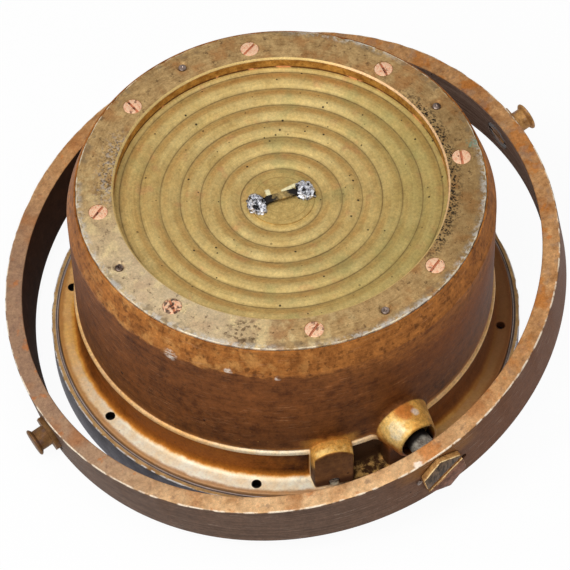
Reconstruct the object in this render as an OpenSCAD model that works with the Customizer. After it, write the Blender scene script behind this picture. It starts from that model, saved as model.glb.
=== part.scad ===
// Gimballed liquid compass, lying on its bezel with the underside of the bowl up.
// Origin: on the resting surface under the bowl's axis. +X: trunnion axis. +Y: pivot axis, rear.

/* [Bowl] */
// Outer radius of the bowl's wall
wall_r = 102.6; // [98:0.1:108]
// Thickness of the bowl's wall
wall_t = 4.6; // [4:0.1:6]
// Height of the wall from the flange to the shoulder
wall_h = 82.7; // [76:0.1:90]
// Height of the slanted shoulder
shoulder_h = 12.1; // [10:0.1:15]
// How far the shoulder leans in towards the rim
shoulder_in = 4.2; // [3:0.1:6]
// Width of the lip that the rim keeps round the clamp ring
rim_lip = 0.8; // [0.6:0.1:2]
// Thickness of the inner ledge under the diaphragm
ledge_t = 8.1; // [7:0.1:10]
// How far the flange reaches beyond the wall
flange_out = 10.2; // [9.5:0.1:13]
// Thickness of the flange
flange_t = 8.1; // [7:0.1:10]
// Radius of the hollow cove between wall and flange
cove_r = 5; // [3:0.1:6]
// Depth of the neck under the bead
neck_in = 1.4; // [0.8:0.1:1.8]
// Height of the bead above the flange
bead_up = 20; // [14:0.1:28]
// Height of the bead itself
bead_h = 3.4; // [2.4:0.1:5]
// How far the bead stands out of the wall
bead_out = 1.2; // [0.6:0.1:1.6]

/* [Clamp ring] */
// Width of the clamp ring
clamp_w = 18; // [16.5:0.1:22]
// Thickness of the clamp ring
clamp_t = 6.5; // [5:0.1:8]
// How far the clamp ring stands above the rim's lip
clamp_proud = 0.8; // [0.2:0.1:2]
// Number of clamp screws
clamp_screw_n = 8; // [4:1:12]
// Radius of a clamp screw's head
clamp_head_r = 4.5; // [3.5:0.1:5]
// Radius of a clamp screw's shank
clamp_shank_r = 2.5; // [2:0.1:2.7]
// Length of a clamp screw
clamp_screw_l = 14; // [11:0.1:15]
// Distance of the clamp screws from the ring's inner edge
clamp_screw_in = 8; // [7:0.1:9]
// Radius of a dowel
dowel_r = 2; // [1.5:0.1:2.5]
// Length of a dowel
dowel_l = 13; // [10:0.1:14]
// Distance of the dowels from the ring's inner edge
dowel_in = 9.8; // [8:0.1:11]

/* [Diaphragm] */
// Thickness of the diaphragm's sheet
sheet_t = 0.5; // [0.4:0.05:1]
// Radius of the innermost crease
crease_r = 19.5; // [18.5:0.1:21]
// Distance from crease to crease
crease_pitch = 9.6; // [9.2:0.05:9.9]
// Height of the ridges between the creases
ridge_h = 1.2; // [0.6:0.1:1.6]
// How far the diaphragm's middle sinks below its edge
dish = 4.8; // [2:0.1:5]
// Thickness of the gasket under the diaphragm
seal_t = 1.2; // [0.8:0.1:2]
// How far the flat middle stands above the innermost crease
middle_rise = 0.9; // [0.3:0.1:1.5]
// Radius of the disc in the middle
disc_r = 15.8; // [15:0.1:17]
// Thickness of the disc in the middle
disc_t = 0.6; // [0.4:0.1:1]
// Length of the bar across the disc
bar_l = 28; // [26:0.5:29]
// Width of the bar
bar_w = 4; // [3:0.1:5]
// Thickness of the bar
bar_t = 1.2; // [0.8:0.1:1.6]
// Height of the bar's arch above the disc
bar_arch = 1.4; // [0.8:0.1:1.8]
// Direction of the bar
bar_az = -13; // [-90:1:90]
// Radius of a solder joint
solder_r = 4.7; // [4:0.1:5.2]
// Height of a solder joint
solder_h = 3.7; // [3.3:0.1:4.2]
// Distance of the solder joints from the bar's ends
solder_in = 1.6; // [1:0.1:2.5]
// How far a solder joint spreads to each side of the bar
solder_spread = 1.5; // [0.5:0.1:2]

/* [Bezel and glass] */
// Thickness of the bezel's skirt round the flange
skirt_t = 3.4; // [2.5:0.1:6]
// Thickness of the bezel under the flange
bezel_t = 8.5; // [7.5:0.1:11]
// How far the skirt stops short of the flange's top
skirt_step = 1.6; // [0.5:0.1:3]
// Thickness of the bezel's lip under the glass
lip_t = 5; // [4.5:0.1:6]
// How far the lip reaches in under the glass
lip_in = 6.4; // [4:0.1:9]
// Width of the bevel round the window
window_bevel = 3; // [1:0.1:3.5]
// Thickness of the glass
glass_t = 5.2; // [4:0.1:6]
// Width of the glass that rests on the seat
seat_w = 5.2; // [4:0.1:6]
// Thickness of the packing between glass and bowl
packing_t = 1.7; // [1:0.1:2.5]
// Number of bezel screws
bezel_screw_n = 8; // [4:1:8]
// Radius of a bezel screw's head
bezel_head_r = 3.9; // [3.2:0.1:4.2]
// Radius of a bezel screw's shank
bezel_shank_r = 2.05; // [1.6:0.05:2.3]
// Distance of the bezel screws beyond the wall
bezel_screw_out = 4.7; // [4.5:0.1:5.4]
// Direction of the first bezel screw
bezel_screw_az = 5; // [4:0.5:6]

/* [Filler lug] */
// Direction of the filler lug
filler_az = -110.3; // [-114:0.1:-106]
// Width of the filler lug
filler_w = 18.9; // [15:0.1:20]
// How far the filler lug stands out of the wall
filler_out = 7.7; // [6:0.1:9]
// Height of the filler lug above the flange
filler_h = 26.8; // [22:0.1:30]
// Height of the filler lug's corners
filler_corner_h = 22.4; // [19:0.1:24]
// Radius of the filler plug's thread
plug_r = 2.4; // [2:0.1:2.6]
// Radius of the recess round the filler plug
plug_recess_r = 2.9; // [2.8:0.1:3]
// Depth of the recess round the filler plug
plug_recess = 2.5; // [1.5:0.1:3.5]

/* [Gimbal] */
// Height of the pivot axis above the flange
pivot_up = 23.65; // [21:0.05:28]
// Gap between the bowl and the gimbal ring's bore as the ring turns
ring_gap = 5.8; // [4:0.1:9]
// Thickness of the gimbal ring
ring_t = 8.6; // [7:0.1:11]
// Height of the gimbal ring
ring_h = 29; // [25:0.5:34]
// Chamfer of the gimbal ring's edges
ring_edge = 0.6; // [0.3:0.1:1.2]
// Gap between the pivot bosses and the gimbal ring
boss_gap = 11.2; // [8:0.1:13]
// Radius of a pivot boss at its face
boss_r = 10.6; // [10.2:0.1:13]
// Radius of a pivot boss at the wall
boss_root_r = 14.2; // [13.2:0.1:15]
// Radius of the bore in a pivot boss
boss_bore_r = 9; // [8:0.1:9.4]
// Half width of the foot under a pivot boss
foot_half_w = 6.6; // [5:0.1:6.8]
// How far the foot under a pivot boss reaches on its wider side
foot_wide = 10.8; // [7:0.1:11.4]
// How far the foot under a pivot boss stands out of the wall
foot_out = 6.4; // [4:0.1:8]
// Length of the bush in a pivot boss
bush_l = 9; // [7:0.1:10]
// Radius of a pivot screw's nose
nose_r = 5.7; // [4.5:0.1:6.2]
// Radius of a pivot screw's thread
pivot_thread_r = 7; // [6.6:0.1:8]
// Width of a pivot screw's hexagon head across its flats
pivot_head_af = 21.4; // [18:0.1:22]
// Thickness of a pivot screw's head
pivot_head_t = 3.6; // [2.8:0.1:5]
// Turn of a pivot screw's head
pivot_head_turn = 34; // [28:1:40]
// Radius of a keeper pin
keeper_r = 1.4; // [1:0.1:1.5]
// Gap between a keeper pin and the flat of the pivot screw's head
keeper_gap = 0.6; // [0.6:0.1:2]

/* [Trunnions] */
// Width of a trunnion's hexagon collar across its flats
collar_af = 17.4; // [15:0.1:20]
// Thickness of a trunnion's collar
collar_t = 2.6; // [1.8:0.1:4]
// Radius of a trunnion's neck
neck_r = 5.3; // [4.5:0.1:6]
// Length of a trunnion's neck
neck_l = 6.3; // [4:0.1:10]
// Radius of a trunnion's flared end
flare_r = 6.9; // [6.3:0.1:8]
// Thickness of a trunnion's flared end
flare_t = 1.5; // [1:0.1:3]
// Radius of the stud that passes through the gimbal ring
stud_r = 5; // [4:0.1:5.5]
// Radius of the round nut on the stud
nut_r = 7.8; // [7:0.1:9]
// Thickness of the round nut
nut_t = 2.2; // [1.8:0.1:3]

/* [Card and float] */
// Gap between the glass and the card
card_up = 11; // [8:0.1:16]
// Gap between the card's edge and the wall
card_gap = 8; // [6.5:0.1:14]
// Thickness of the card disc
card_t = 0.6; // [0.4:0.1:1]
// Width of the card's stiffening ring
card_ring_w = 3; // [2:0.1:6]
// Thickness of the card's stiffening ring
card_ring_t = 1; // [0.6:0.1:2]
// Outer radius of the float
float_r = 30; // [26:0.5:36]
// Height of the float's straight side
float_side_h = 8; // [6:0.1:12]
// Height of the float
float_h = 23; // [20:0.1:27]
// Thickness of the float's sheet
float_t = 0.8; // [0.6:0.1:1.2]
// Radius of the well through the float
well_r = 8.6; // [7.5:0.1:10]
// Height of the jewel's pit above the card
pit_up = 8; // [6.5:0.1:10]
// Radius of the jewel
jewel_r = 2.4; // [2:0.1:3]
// Height of the jewel
jewel_h = 3; // [2.5:0.1:4]
// Radius of a magnet
magnet_r = 3.5; // [2.5:0.1:4.5]
// Length of a magnet
magnet_l = 78; // [60:1:90]
// Distance of the magnet clips from the magnets' ends
clip_in = 12; // [8:0.5:16]
// Distance of the magnets from the pivot
magnet_x = 18; // [17:0.5:24]
// Thickness of the magnet frame
frame_t = 1.2; // [0.8:0.1:2]

/* [Bridge and post] */
// Thickness of the bridge
bridge_t = 5; // [4:0.1:6]
// Width of the bridge's arms
arm_w = 12; // [9:0.5:16]
// Radius of the bridge's hub
hub_r = 13; // [12:0.1:16]
// Gap between the bridge's ends and the blend under the ledge
bridge_gap = 0.5; // [0.3:0.1:2]
// Height of the post's lower end above the jewel's pit
post_up = 6; // [5:0.1:8]
// Radius of the pivot post
post_r = 4; // [3:0.1:5]
// Width of the post's lock nut across its flats
post_nut_af = 14; // [12:0.5:17]
// Thickness of the post's lock nut
post_nut_t = 3.5; // [2.5:0.1:5]
// Radius of the pivot point's pin
point_r = 1.2; // [0.8:0.1:1.5]
// Distance of the bridge screws beyond the ledge's inner edge
bridge_screw_in = 4.2; // [3.6:0.1:5.5]
// How far a bridge screw reaches into the ledge
bridge_screw_bite = 6; // [5:0.1:6.5]
// Radius of a bridge screw's head
bridge_head_r = 3.4; // [2.8:0.1:3.8]
// Radius of a bridge screw's shank
bridge_shank_r = 1.8; // [1.4:0.1:2]
// Width of the lubber bracket
lubber_w = 7; // [6:0.1:9]
// Height of the lubber bracket
lubber_h = 20; // [18:0.5:26]
// Thickness of the lubber bracket
lubber_t = 1.5; // [1:0.1:2]
// Gap between the lubber pointer and the card's edge
lubber_gap = 1.5; // [1:0.1:3]

/* [Hidden] */
$fn = 96;

// Clearances
thread_fit = 0.05;
screw_clear = 0.15;
slide_fit = 0.1;
running_fit = 0.06;
glass_clear = 0.3;
skirt_clear = 0.25;
sheet_clear = 0.4;
cut = 1;

// Countersunk heads: a short straight rim, then a cone that ends at the shank
head_rim = 0.35;
slot_share = 0.55;

// Heights, from the surface that the bezel stands on
glass_z = lip_t;
glass_top = glass_z + glass_t;
seat_z = glass_top + packing_t;
flange_z = bezel_t;
flange_top = flange_z + flange_t;
bead_z = flange_top + bead_up;
shoulder_z = flange_top + wall_h;
rim_z = shoulder_z + shoulder_h;
clamp_top = rim_z + clamp_proud;
clamp_z = clamp_top - clamp_t;
sheet_z = clamp_z - sheet_t;
ledge_top = sheet_z - seal_t;
ledge_z = ledge_top - ledge_t;
pivot_z = flange_top + pivot_up;

// Radii of the bowl
inner_r = wall_r - wall_t;
neck_wall_r = wall_r - neck_in;
flange_r = wall_r + flange_out;
rim_r = wall_r - shoulder_in;
rebate_r = rim_r - rim_lip;
clamp_r = rebate_r - slide_fit;
open_r = clamp_r - clamp_w;
glass_r = inner_r + seat_w;
glass_bore_r = glass_r + glass_clear;
window_r = glass_r - lip_in;
skirt_r = flange_r + skirt_clear;
bezel_r = skirt_r + skirt_t;
bezel_edge = 0.8;
bezel_screw_r = wall_r + bezel_screw_out;
ledge_blend = 3;

// Clamp ring hardware
clamp_screw_r = open_r + clamp_screw_in;
clamp_screw_az = 180 / clamp_screw_n;
clamp_head_h = clamp_head_r - clamp_shank_r + head_rim;
clamp_slot_w = 1.2;
clamp_slot_d = 1.3;
clamp_bevel = 0.8;
dowel_circle_r = open_r + dowel_in;
dowel_n = 4;
dowel_sunk = 0.5;
dowel_chamfer = 1.3;
dowel_dimple = 0.8;
blind_gap = 1;

// Diaphragm
crease_n = floor((open_r - crease_r) / crease_pitch);
last_crease_r = crease_r + crease_n * crease_pitch;
ridge_steps = 8;
sheet_sink = 1.2;

// Height of the sheet's upper face at radius r, below the clamp ring
function sheet_base(r) = clamp_z - sheet_sink - dish * (1 - pow(r / last_crease_r, 2));
function ridge(r) = ridge_h * abs(sin(180 * (r - crease_r) / crease_pitch));
sheet_radii = [for (i = [0 : crease_n * ridge_steps]) crease_r + i * crease_pitch / ridge_steps];
disc_z = sheet_base(crease_r) + middle_rise;
middle_r = disc_r + 0.4;
bar_z = disc_z + disc_t;
solder_x = bar_l / 2 - solder_in;
solder_ball_r = (pow(solder_r, 2) + pow(solder_h, 2)) / (2 * solder_h);

// Bezel screws, seen from the bezel's face
bezel_head_h = bezel_head_r - bezel_shank_r + head_rim;
bezel_screw_l = bezel_t + 0.62 * flange_t;

// Filler lug
filler_face_r = wall_r + filler_out;
filler_rise = filler_h - filler_corner_h;
filler_arc_r = (pow(filler_w / 2, 2) + pow(filler_rise, 2)) / (2 * filler_rise);
plug_z = flange_top + plug_recess_r + 0.3;
plug_slot_w = 0.9;
plug_slot_d = 1;
washer_t = 0.6;

// Gimbal ring: its bore clears the farthest corner of the bowl at every angle
reach_r = max(norm([bezel_r, pivot_z]), norm([rim_r, clamp_top - pivot_z]),
    norm([wall_r, shoulder_z - pivot_z]));
ring_bore_r = reach_r + ring_gap;
ring_r = ring_bore_r + ring_t;
// The ring leans on the pivots until its lower edge meets the resting surface
ring_tilt = asin(pivot_z / norm([ring_r, ring_h / 2])) - atan2(ring_h / 2, ring_r);

// Pivots
boss_face_y = ring_bore_r - boss_gap;
boss_bore_y = inner_r + 5.5;
boss_edge = 0.5;
bush_y = boss_bore_y + bush_l;
nose_y = boss_bore_y + 1.5;
pivot_seat_y = sqrt(pow(ring_r, 2) - pow(pivot_head_af / sqrt(3), 2)) - 0.05;
pivot_slot_w = 2.4;
pivot_slot_d = 1.8;
keeper_side = pivot_head_af / 2 + keeper_r + keeper_gap;
keeper_turn = -8;
pivot_slot_turn = 24;
keeper_depth = 5;
keeper_proud = 0.6;
keeper_sunk = 2;

// Trunnions
collar_seat_x = sqrt(pow(ring_r, 2) - pow(collar_af / sqrt(3), 2)) - 0.05;
neck_x = collar_seat_x + collar_t;
flare_x = neck_x + neck_l;
trunnion_end_x = flare_x + flare_t;
nut_gap = 0.3;
nut_x = ring_bore_r + 0.2;
nut_slot_w = 1.8;
nut_slot_d = 1.2;

// Card, float and magnets, from the card's face upwards
card_z = glass_top + card_up;
card_r = inner_r - card_gap;
base_z = card_z + card_t;
pit_z = card_z + pit_up;
cup_r = well_r - 2.1;
float_top = base_z + float_h;
cone_top_r = well_r + float_t + 2;
frame_z = float_top;
magnet_z = frame_z + frame_t + magnet_r;
clip_y = magnet_l / 2 - clip_in;
clip_l = 6;
clip_wall = 1.2;
frame_arm_w = 8;
pit_angle_drop = 1.1;

// Bridge and post
bridge_z = ledge_z - bridge_t;
bridge_r = inner_r - ledge_blend - bridge_gap;
bridge_screw_r = open_r + bridge_screw_in;
bridge_head_h = bridge_head_r - bridge_shank_r + head_rim;
bridge_screw_l = bridge_t + bridge_screw_bite;
bridge_slot_w = 1;
bridge_slot_d = 1;
post_thread_r = post_r + 1;
post_end_z = pit_z + post_up;
point_h = 6;
point_gap = 0.05;

// Lubber bracket
lubber_x = sqrt(pow(inner_r, 2) - pow(lubber_w / 2, 2));
lubber_z = card_z - 1;
lubber_screw_n = 2;
lubber_screw_r = 1.1;
lubber_head_r = 1.9;
lubber_head_h = 1.1;
lubber_screw_bite = 3;
lubber_screw_up = 7;
lubber_screw_pitch = 8;

// Colours
brass = [0.66, 0.52, 0.28];
bowl_brown = [0.42, 0.24, 0.13];
sheet_yellow = [0.74, 0.63, 0.38];
copper = [0.90, 0.56, 0.40];
solder_grey = [0.76, 0.77, 0.80];
steel = [0.52, 0.52, 0.54];
bezel_grey = [0.42, 0.41, 0.43];
gimbal_tan = [0.56, 0.42, 0.30];
rubber_black = [0.10, 0.10, 0.10];
glass_clear_blue = [0.75, 0.88, 0.92, 0.35];
card_white = [0.90, 0.88, 0.80];
jewel_red = [0.70, 0.10, 0.20];

// Copies of a child round the bowl's axis, on a circle
module on_circle(n, r, first_az) {
    for (i = [0 : n - 1])
        rotate([0, 0, first_az + 360 * i / n])
            translate([r, 0, 0])
                children();
}

// Countersunk screw that hangs down from its head's face
module countersunk_screw(head_r, shank_r, head_h, length, slot_w, slot_d, slot_az) {
    difference() {
        rotate_extrude()
            polygon([
                [0, 0], [head_r, 0], [head_r, -head_rim], [shank_r, -head_h],
                [shank_r, -length + shank_r / 2], [shank_r / 2, -length], [0, -length]
            ]);
        rotate([0, 0, slot_az])
            translate([-head_r - cut, -slot_w / 2, -slot_d])
                cube([2 * (head_r + cut), slot_w, slot_d + cut]);
    }
}

// Cutter for the head and shank of a countersunk screw
module countersink(head_r, shank_r, head_h, depth) {
    rotate_extrude()
        polygon([
            [0, cut], [head_r + slide_fit, cut], [head_r + slide_fit, -head_rim],
            [shank_r + screw_clear, -head_h - 0.1], [shank_r + screw_clear, -depth], [0, -depth]
        ]);
}

// Children turned to both ends of the Y axis: front, then rear
module front_and_rear() {
    children();
    rotate([0, 0, 180])
        children();
}

// Children placed in the leaning gimbal ring's own frame
module leaning() {
    translate([0, 0, pivot_z])
        rotate([0, -ring_tilt, 0])
            children();
}

// Children whose +Z points out of the front of the object
module facing_front() {
    rotate([90, 0, 0])
        children();
}

// Children whose +Z points out along +X
module facing_right() {
    rotate([0, 90, 0])
        children();
}

module bowl_section() {
    difference() {
        polygon([
            [glass_bore_r, flange_z], [flange_r, flange_z], [flange_r, flange_top],
            [neck_wall_r + cove_r, flange_top], [neck_wall_r, flange_top + cove_r],
            [neck_wall_r, bead_z], [wall_r, bead_z], [wall_r, shoulder_z], [rim_r, rim_z],
            [rebate_r, rim_z], [rebate_r, ledge_top], [open_r, ledge_top], [open_r, ledge_z],
            [inner_r - ledge_blend, ledge_z], [inner_r, ledge_z - ledge_blend],
            [inner_r, seat_z], [glass_bore_r, seat_z]
        ]);
    }
}

// Fillet of the cove, with its hollow side outwards
module cove_section() {
    difference() {
        translate([neck_wall_r - 0.5, flange_top - 0.5])
            square([cove_r + 0.5, cove_r + 0.5]);
        translate([neck_wall_r + cove_r, flange_top + cove_r])
            circle(r = cove_r);
    }
}

module bead_section() {
    translate([wall_r + bead_out - bead_h / 2, bead_z])
        circle(r = bead_h / 2, $fn = 48);
}

module pivot_boss() {
    translate([0, 0, pivot_z])
        facing_front()
            rotate_extrude()
                polygon([
                    [0, inner_r + 1.5], [boss_root_r, inner_r + 1.5], [boss_root_r, wall_r],
                    [boss_r, boss_face_y - boss_edge], [boss_r - boss_edge, boss_face_y],
                    [0, boss_face_y]
                ]);
    translate([-foot_wide, -wall_r - foot_out, flange_top - 1])
        cube([foot_wide + foot_half_w, foot_out + wall_t - 1.5, pivot_z - flange_top + 1]);
}

module filler_lug_outline() {
    intersection() {
        translate([-filler_w / 2, flange_top - 1])
            square([filler_w, filler_h + 1]);
        union() {
            translate([0, flange_top + filler_h - filler_arc_r])
                circle(r = filler_arc_r);
            translate([-filler_w / 2, flange_top - 1])
                square([filler_w, filler_corner_h - filler_rise + 1]);
        }
    }
}

module filler_lug() {
    rotate([0, 0, filler_az + 90])
        translate([0, -inner_r - 1.5, 0])
            facing_front()
                linear_extrude(filler_face_r - inner_r - 1.5)
                    filler_lug_outline();
}

module filler_hole() {
    rotate([0, 0, filler_az + 90])
        translate([0, 0, plug_z])
            facing_front() {
                cylinder(r = plug_r + thread_fit, h = filler_face_r + cut);
                translate([0, 0, filler_face_r - plug_recess])
                    cylinder(r = plug_recess_r, h = plug_recess + cut);
            }
}

module bowl() {
    color(bowl_brown)
        difference() {
            union() {
                rotate_extrude()
                    bowl_section();
                rotate_extrude()
                    cove_section();
                rotate_extrude()
                    bead_section();
                front_and_rear()
                    pivot_boss();
                filler_lug();
            }
            front_and_rear()
                translate([0, -boss_bore_y, pivot_z])
                    facing_front()
                        cylinder(r = boss_bore_r, h = boss_face_y);
            filler_hole();
            on_circle(bezel_screw_n, bezel_screw_r, bezel_screw_az)
                translate([0, 0, flange_z - cut])
                    cylinder(r = bezel_shank_r + thread_fit, h = flange_t + cove_r + cut);
            on_circle(clamp_screw_n, clamp_screw_r, clamp_screw_az)
                translate([0, 0, clamp_top - clamp_screw_l - blind_gap])
                    cylinder(r = clamp_shank_r + thread_fit, h = clamp_screw_l);
            on_circle(dowel_n, dowel_circle_r, 0)
                translate([0, 0, clamp_top - dowel_sunk - dowel_l])
                    cylinder(r = dowel_r + thread_fit, h = dowel_l);
            on_circle(dowel_n, bridge_screw_r, 0)
                translate([0, 0, bridge_z])
                    cylinder(r = bridge_shank_r + thread_fit, h = bridge_screw_l + blind_gap);
            for (i = [0 : lubber_screw_n - 1])
                translate([inner_r - cut, 0, lubber_z + lubber_screw_up + i * lubber_screw_pitch])
                    facing_right()
                        cylinder(r = lubber_screw_r + thread_fit, h = lubber_screw_bite + cut, $fn = 24);
        }
}

module clamp_ring() {
    color(brass)
        difference() {
            rotate_extrude()
                polygon([
                    [open_r, clamp_z], [clamp_r, clamp_z], [clamp_r, clamp_top - clamp_bevel / 2],
                    [clamp_r - clamp_bevel / 2, clamp_top], [open_r + clamp_bevel, clamp_top],
                    [open_r, clamp_top - clamp_bevel]
                ]);
            on_circle(clamp_screw_n, clamp_screw_r, clamp_screw_az)
                translate([0, 0, clamp_top])
                    countersink(clamp_head_r, clamp_shank_r, clamp_head_h, clamp_t + cut);
            on_circle(dowel_n, dowel_circle_r, 0)
                translate([0, 0, clamp_top]) {
                    translate([0, 0, -clamp_t - cut])
                        cylinder(r = dowel_r + thread_fit, h = clamp_t + 2 * cut);
                    translate([0, 0, -dowel_chamfer])
                        cylinder(r1 = dowel_r, r2 = dowel_r + dowel_chamfer, h = dowel_chamfer);
                    cylinder(r = dowel_r + dowel_chamfer, h = cut);
                }
        }
}

module clamp_screws() {
    color(copper)
        for (i = [0 : clamp_screw_n - 1])
            rotate([0, 0, clamp_screw_az + 360 * i / clamp_screw_n])
                translate([clamp_screw_r, 0, clamp_top])
                    countersunk_screw(clamp_head_r, clamp_shank_r, clamp_head_h, clamp_screw_l,
                        clamp_slot_w, clamp_slot_d, 67 * i);
}

module ring_dowels() {
    color(steel)
        on_circle(dowel_n, dowel_circle_r, 0)
            translate([0, 0, clamp_top - dowel_sunk])
                rotate_extrude()
                    polygon([
                        [0, -dowel_dimple], [dowel_dimple, 0], [dowel_r - 0.3, 0], [dowel_r, -0.3],
                        [dowel_r, -dowel_l], [0, -dowel_l]
                    ]);
}

module diaphragm() {
    color(sheet_yellow)
        difference() {
            rotate_extrude()
                polygon(concat(
                    [[middle_r, disc_z - sheet_t], [0, disc_z - sheet_t], [0, disc_z], [middle_r, disc_z]],
                    [for (r = sheet_radii) [r, sheet_base(r) + ridge(r)]],
                    [[open_r - 0.6, clamp_z], [clamp_r - slide_fit, clamp_z]],
                    [[clamp_r - slide_fit, sheet_z], [open_r - 0.6, sheet_z]],
                    [for (i = [len(sheet_radii) - 1 : -1 : 0])
                        [sheet_radii[i], sheet_base(sheet_radii[i]) + ridge(sheet_radii[i]) - sheet_t]]
                ));
            on_circle(clamp_screw_n, clamp_screw_r, clamp_screw_az)
                translate([0, 0, sheet_z - cut])
                    cylinder(r = clamp_shank_r + sheet_clear, h = sheet_t + 2 * cut);
            on_circle(dowel_n, dowel_circle_r, 0)
                translate([0, 0, sheet_z - cut])
                    cylinder(r = dowel_r + sheet_clear, h = sheet_t + 2 * cut);
        }
}

module diaphragm_gasket() {
    color(rubber_black)
        difference() {
            translate([0, 0, ledge_top])
                cylinder(r = clamp_r - slide_fit, h = seal_t);
            translate([0, 0, ledge_top - cut])
                cylinder(r = open_r, h = seal_t + 2 * cut);
            on_circle(clamp_screw_n, clamp_screw_r, clamp_screw_az)
                translate([0, 0, ledge_top - cut])
                    cylinder(r = clamp_shank_r + sheet_clear, h = seal_t + 2 * cut);
            on_circle(dowel_n, dowel_circle_r, 0)
                translate([0, 0, ledge_top - cut])
                    cylinder(r = dowel_r + sheet_clear, h = seal_t + 2 * cut);
        }
}

module centre_disc() {
    color(sheet_yellow)
        translate([0, 0, disc_z])
            cylinder(r = disc_r, h = disc_t);
}

// Thin strap with a foot at each end and a low arch between
module centre_bar() {
    foot_l = 6;
    step_x = bar_l / 2 - foot_l - bar_arch;
    color(brass)
        rotate([0, 0, bar_az])
            translate([0, bar_w / 2, bar_z])
                facing_front()
                    linear_extrude(bar_w)
                        polygon([
                            [-bar_l / 2, 0], [-step_x - bar_arch, 0], [-step_x, bar_arch],
                            [step_x, bar_arch], [step_x + bar_arch, 0], [bar_l / 2, 0],
                            [bar_l / 2, bar_t], [step_x + bar_arch + 0.4, bar_t],
                            [step_x + 0.4, bar_arch + bar_t], [-step_x - 0.4, bar_arch + bar_t],
                            [-step_x - bar_arch - 0.4, bar_t], [-bar_l / 2, bar_t]
                        ]);
}

// Solder heaped over the bar's feet
module solder_joints() {
    color(solder_grey)
        difference() {
            rotate([0, 0, bar_az])
                for (side = [-1, 1], spread = [-solder_spread, solder_spread])
                    translate([side * solder_x, spread, bar_z])
                        intersection() {
                            translate([0, 0, solder_h - solder_ball_r])
                                sphere(r = solder_ball_r, $fn = 48);
                            cylinder(r = solder_r + cut, h = solder_h + cut);
                            translate([-solder_r - cut, -solder_r - cut, 0])
                                cube(2 * (solder_r + cut));
                        }
            centre_bar();
        }
}

module bezel_ring() {
    color(bezel_grey)
        difference() {
            rotate_extrude()
                polygon([
                    [window_r + window_bevel, 0], [bezel_r - bezel_edge, 0], [bezel_r, bezel_edge],
                    [bezel_r, flange_top - skirt_step - bezel_edge / 2],
                    [bezel_r - bezel_edge / 2, flange_top - skirt_step],
                    [skirt_r, flange_top - skirt_step], [skirt_r, flange_z],
                    [glass_bore_r, flange_z], [glass_bore_r, glass_z], [window_r, glass_z],
                    [window_r, window_bevel]
                ]);
            on_circle(bezel_screw_n, bezel_screw_r, bezel_screw_az)
                mirror([0, 0, 1])
                    countersink(bezel_head_r, bezel_shank_r, bezel_head_h, bezel_t + cut);
        }
}

module bezel_screws() {
    color(brass)
        for (i = [0 : bezel_screw_n - 1])
            rotate([0, 0, bezel_screw_az + 360 * i / bezel_screw_n])
                translate([bezel_screw_r, 0, 0])
                    mirror([0, 0, 1])
                        countersunk_screw(bezel_head_r, bezel_shank_r, bezel_head_h, bezel_screw_l,
                            1.1, 1.1, 53 * i);
}

module glass() {
    color(glass_clear_blue)
        translate([0, 0, glass_z])
            cylinder(r = glass_r, h = glass_t);
}

module glass_packing() {
    color(rubber_black)
        difference() {
            translate([0, 0, glass_top])
                cylinder(r = glass_r, h = packing_t);
            translate([0, 0, glass_top - cut])
                cylinder(r = inner_r + 0.2, h = packing_t + 2 * cut);
        }
}

module filler_plug() {
    plug_l = filler_face_r - plug_recess - inner_r - 1;
    color(steel)
        rotate([0, 0, filler_az + 90])
            translate([0, -inner_r - 1, plug_z])
                facing_front()
                    difference() {
                        cylinder(r = plug_r, h = plug_l + washer_t + 0.6);
                        translate([-plug_r - cut, -plug_slot_w / 2, plug_l + washer_t + 0.6 - plug_slot_d])
                            cube([2 * (plug_r + cut), plug_slot_w, plug_slot_d + cut]);
                    }
}

module filler_washer() {
    color(solder_grey)
        rotate([0, 0, filler_az + 90])
            translate([0, -filler_face_r + plug_recess, plug_z])
                facing_front()
                    difference() {
                        cylinder(r = plug_recess_r - slide_fit, h = washer_t);
                        translate([0, 0, -cut])
                            cylinder(r = plug_r + thread_fit, h = washer_t + 2 * cut);
                    }
}

module pivot_bushes() {
    color(copper)
        front_and_rear()
            translate([0, -boss_bore_y, pivot_z])
                facing_front()
                    difference() {
                        cylinder(r = boss_bore_r - thread_fit, h = bush_l);
                        translate([0, 0, -cut])
                            cylinder(r = nose_r + running_fit, h = bush_l + 2 * cut);
                    }
}

module bridge() {
    color(brass)
        difference() {
            translate([0, 0, bridge_z]) {
                cylinder(r = hub_r, h = bridge_t);
                intersection() {
                    cylinder(r = bridge_r, h = bridge_t);
                    for (turn = [0, 90])
                        rotate([0, 0, turn])
                            translate([-bridge_r - cut, -arm_w / 2, 0])
                                cube([2 * (bridge_r + cut), arm_w, bridge_t]);
                }
            }
            translate([0, 0, bridge_z - cut])
                cylinder(r = post_thread_r + thread_fit, h = bridge_t + 2 * cut);
            on_circle(dowel_n, bridge_screw_r, 0)
                translate([0, 0, bridge_z])
                    mirror([0, 0, 1])
                        countersink(bridge_head_r, bridge_shank_r, bridge_head_h, bridge_t + cut);
        }
}

module bridge_screws() {
    color(brass)
        for (i = [0 : dowel_n - 1])
            rotate([0, 0, 360 * i / dowel_n])
                translate([bridge_screw_r, 0, bridge_z])
                    mirror([0, 0, 1])
                        countersunk_screw(bridge_head_r, bridge_shank_r, bridge_head_h, bridge_screw_l,
                            bridge_slot_w, bridge_slot_d, 41 * i);
}

module pivot_post() {
    color(brass)
        difference() {
            rotate_extrude()
                polygon([
                    [0, post_end_z], [post_r - 1.4, post_end_z], [post_r, post_end_z + 4],
                    [post_r, bridge_z - post_nut_t - 4], [post_thread_r, bridge_z - post_nut_t - 3],
                    [post_thread_r, ledge_z], [0, ledge_z]
                ]);
            translate([0, 0, post_end_z - cut])
                cylinder(r = point_r + thread_fit, h = point_h + cut, $fn = 32);
            translate([-post_thread_r - cut, -0.6, ledge_z - 1.2])
                cube([2 * (post_thread_r + cut), 1.2, 1.2 + cut]);
        }
}

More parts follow.
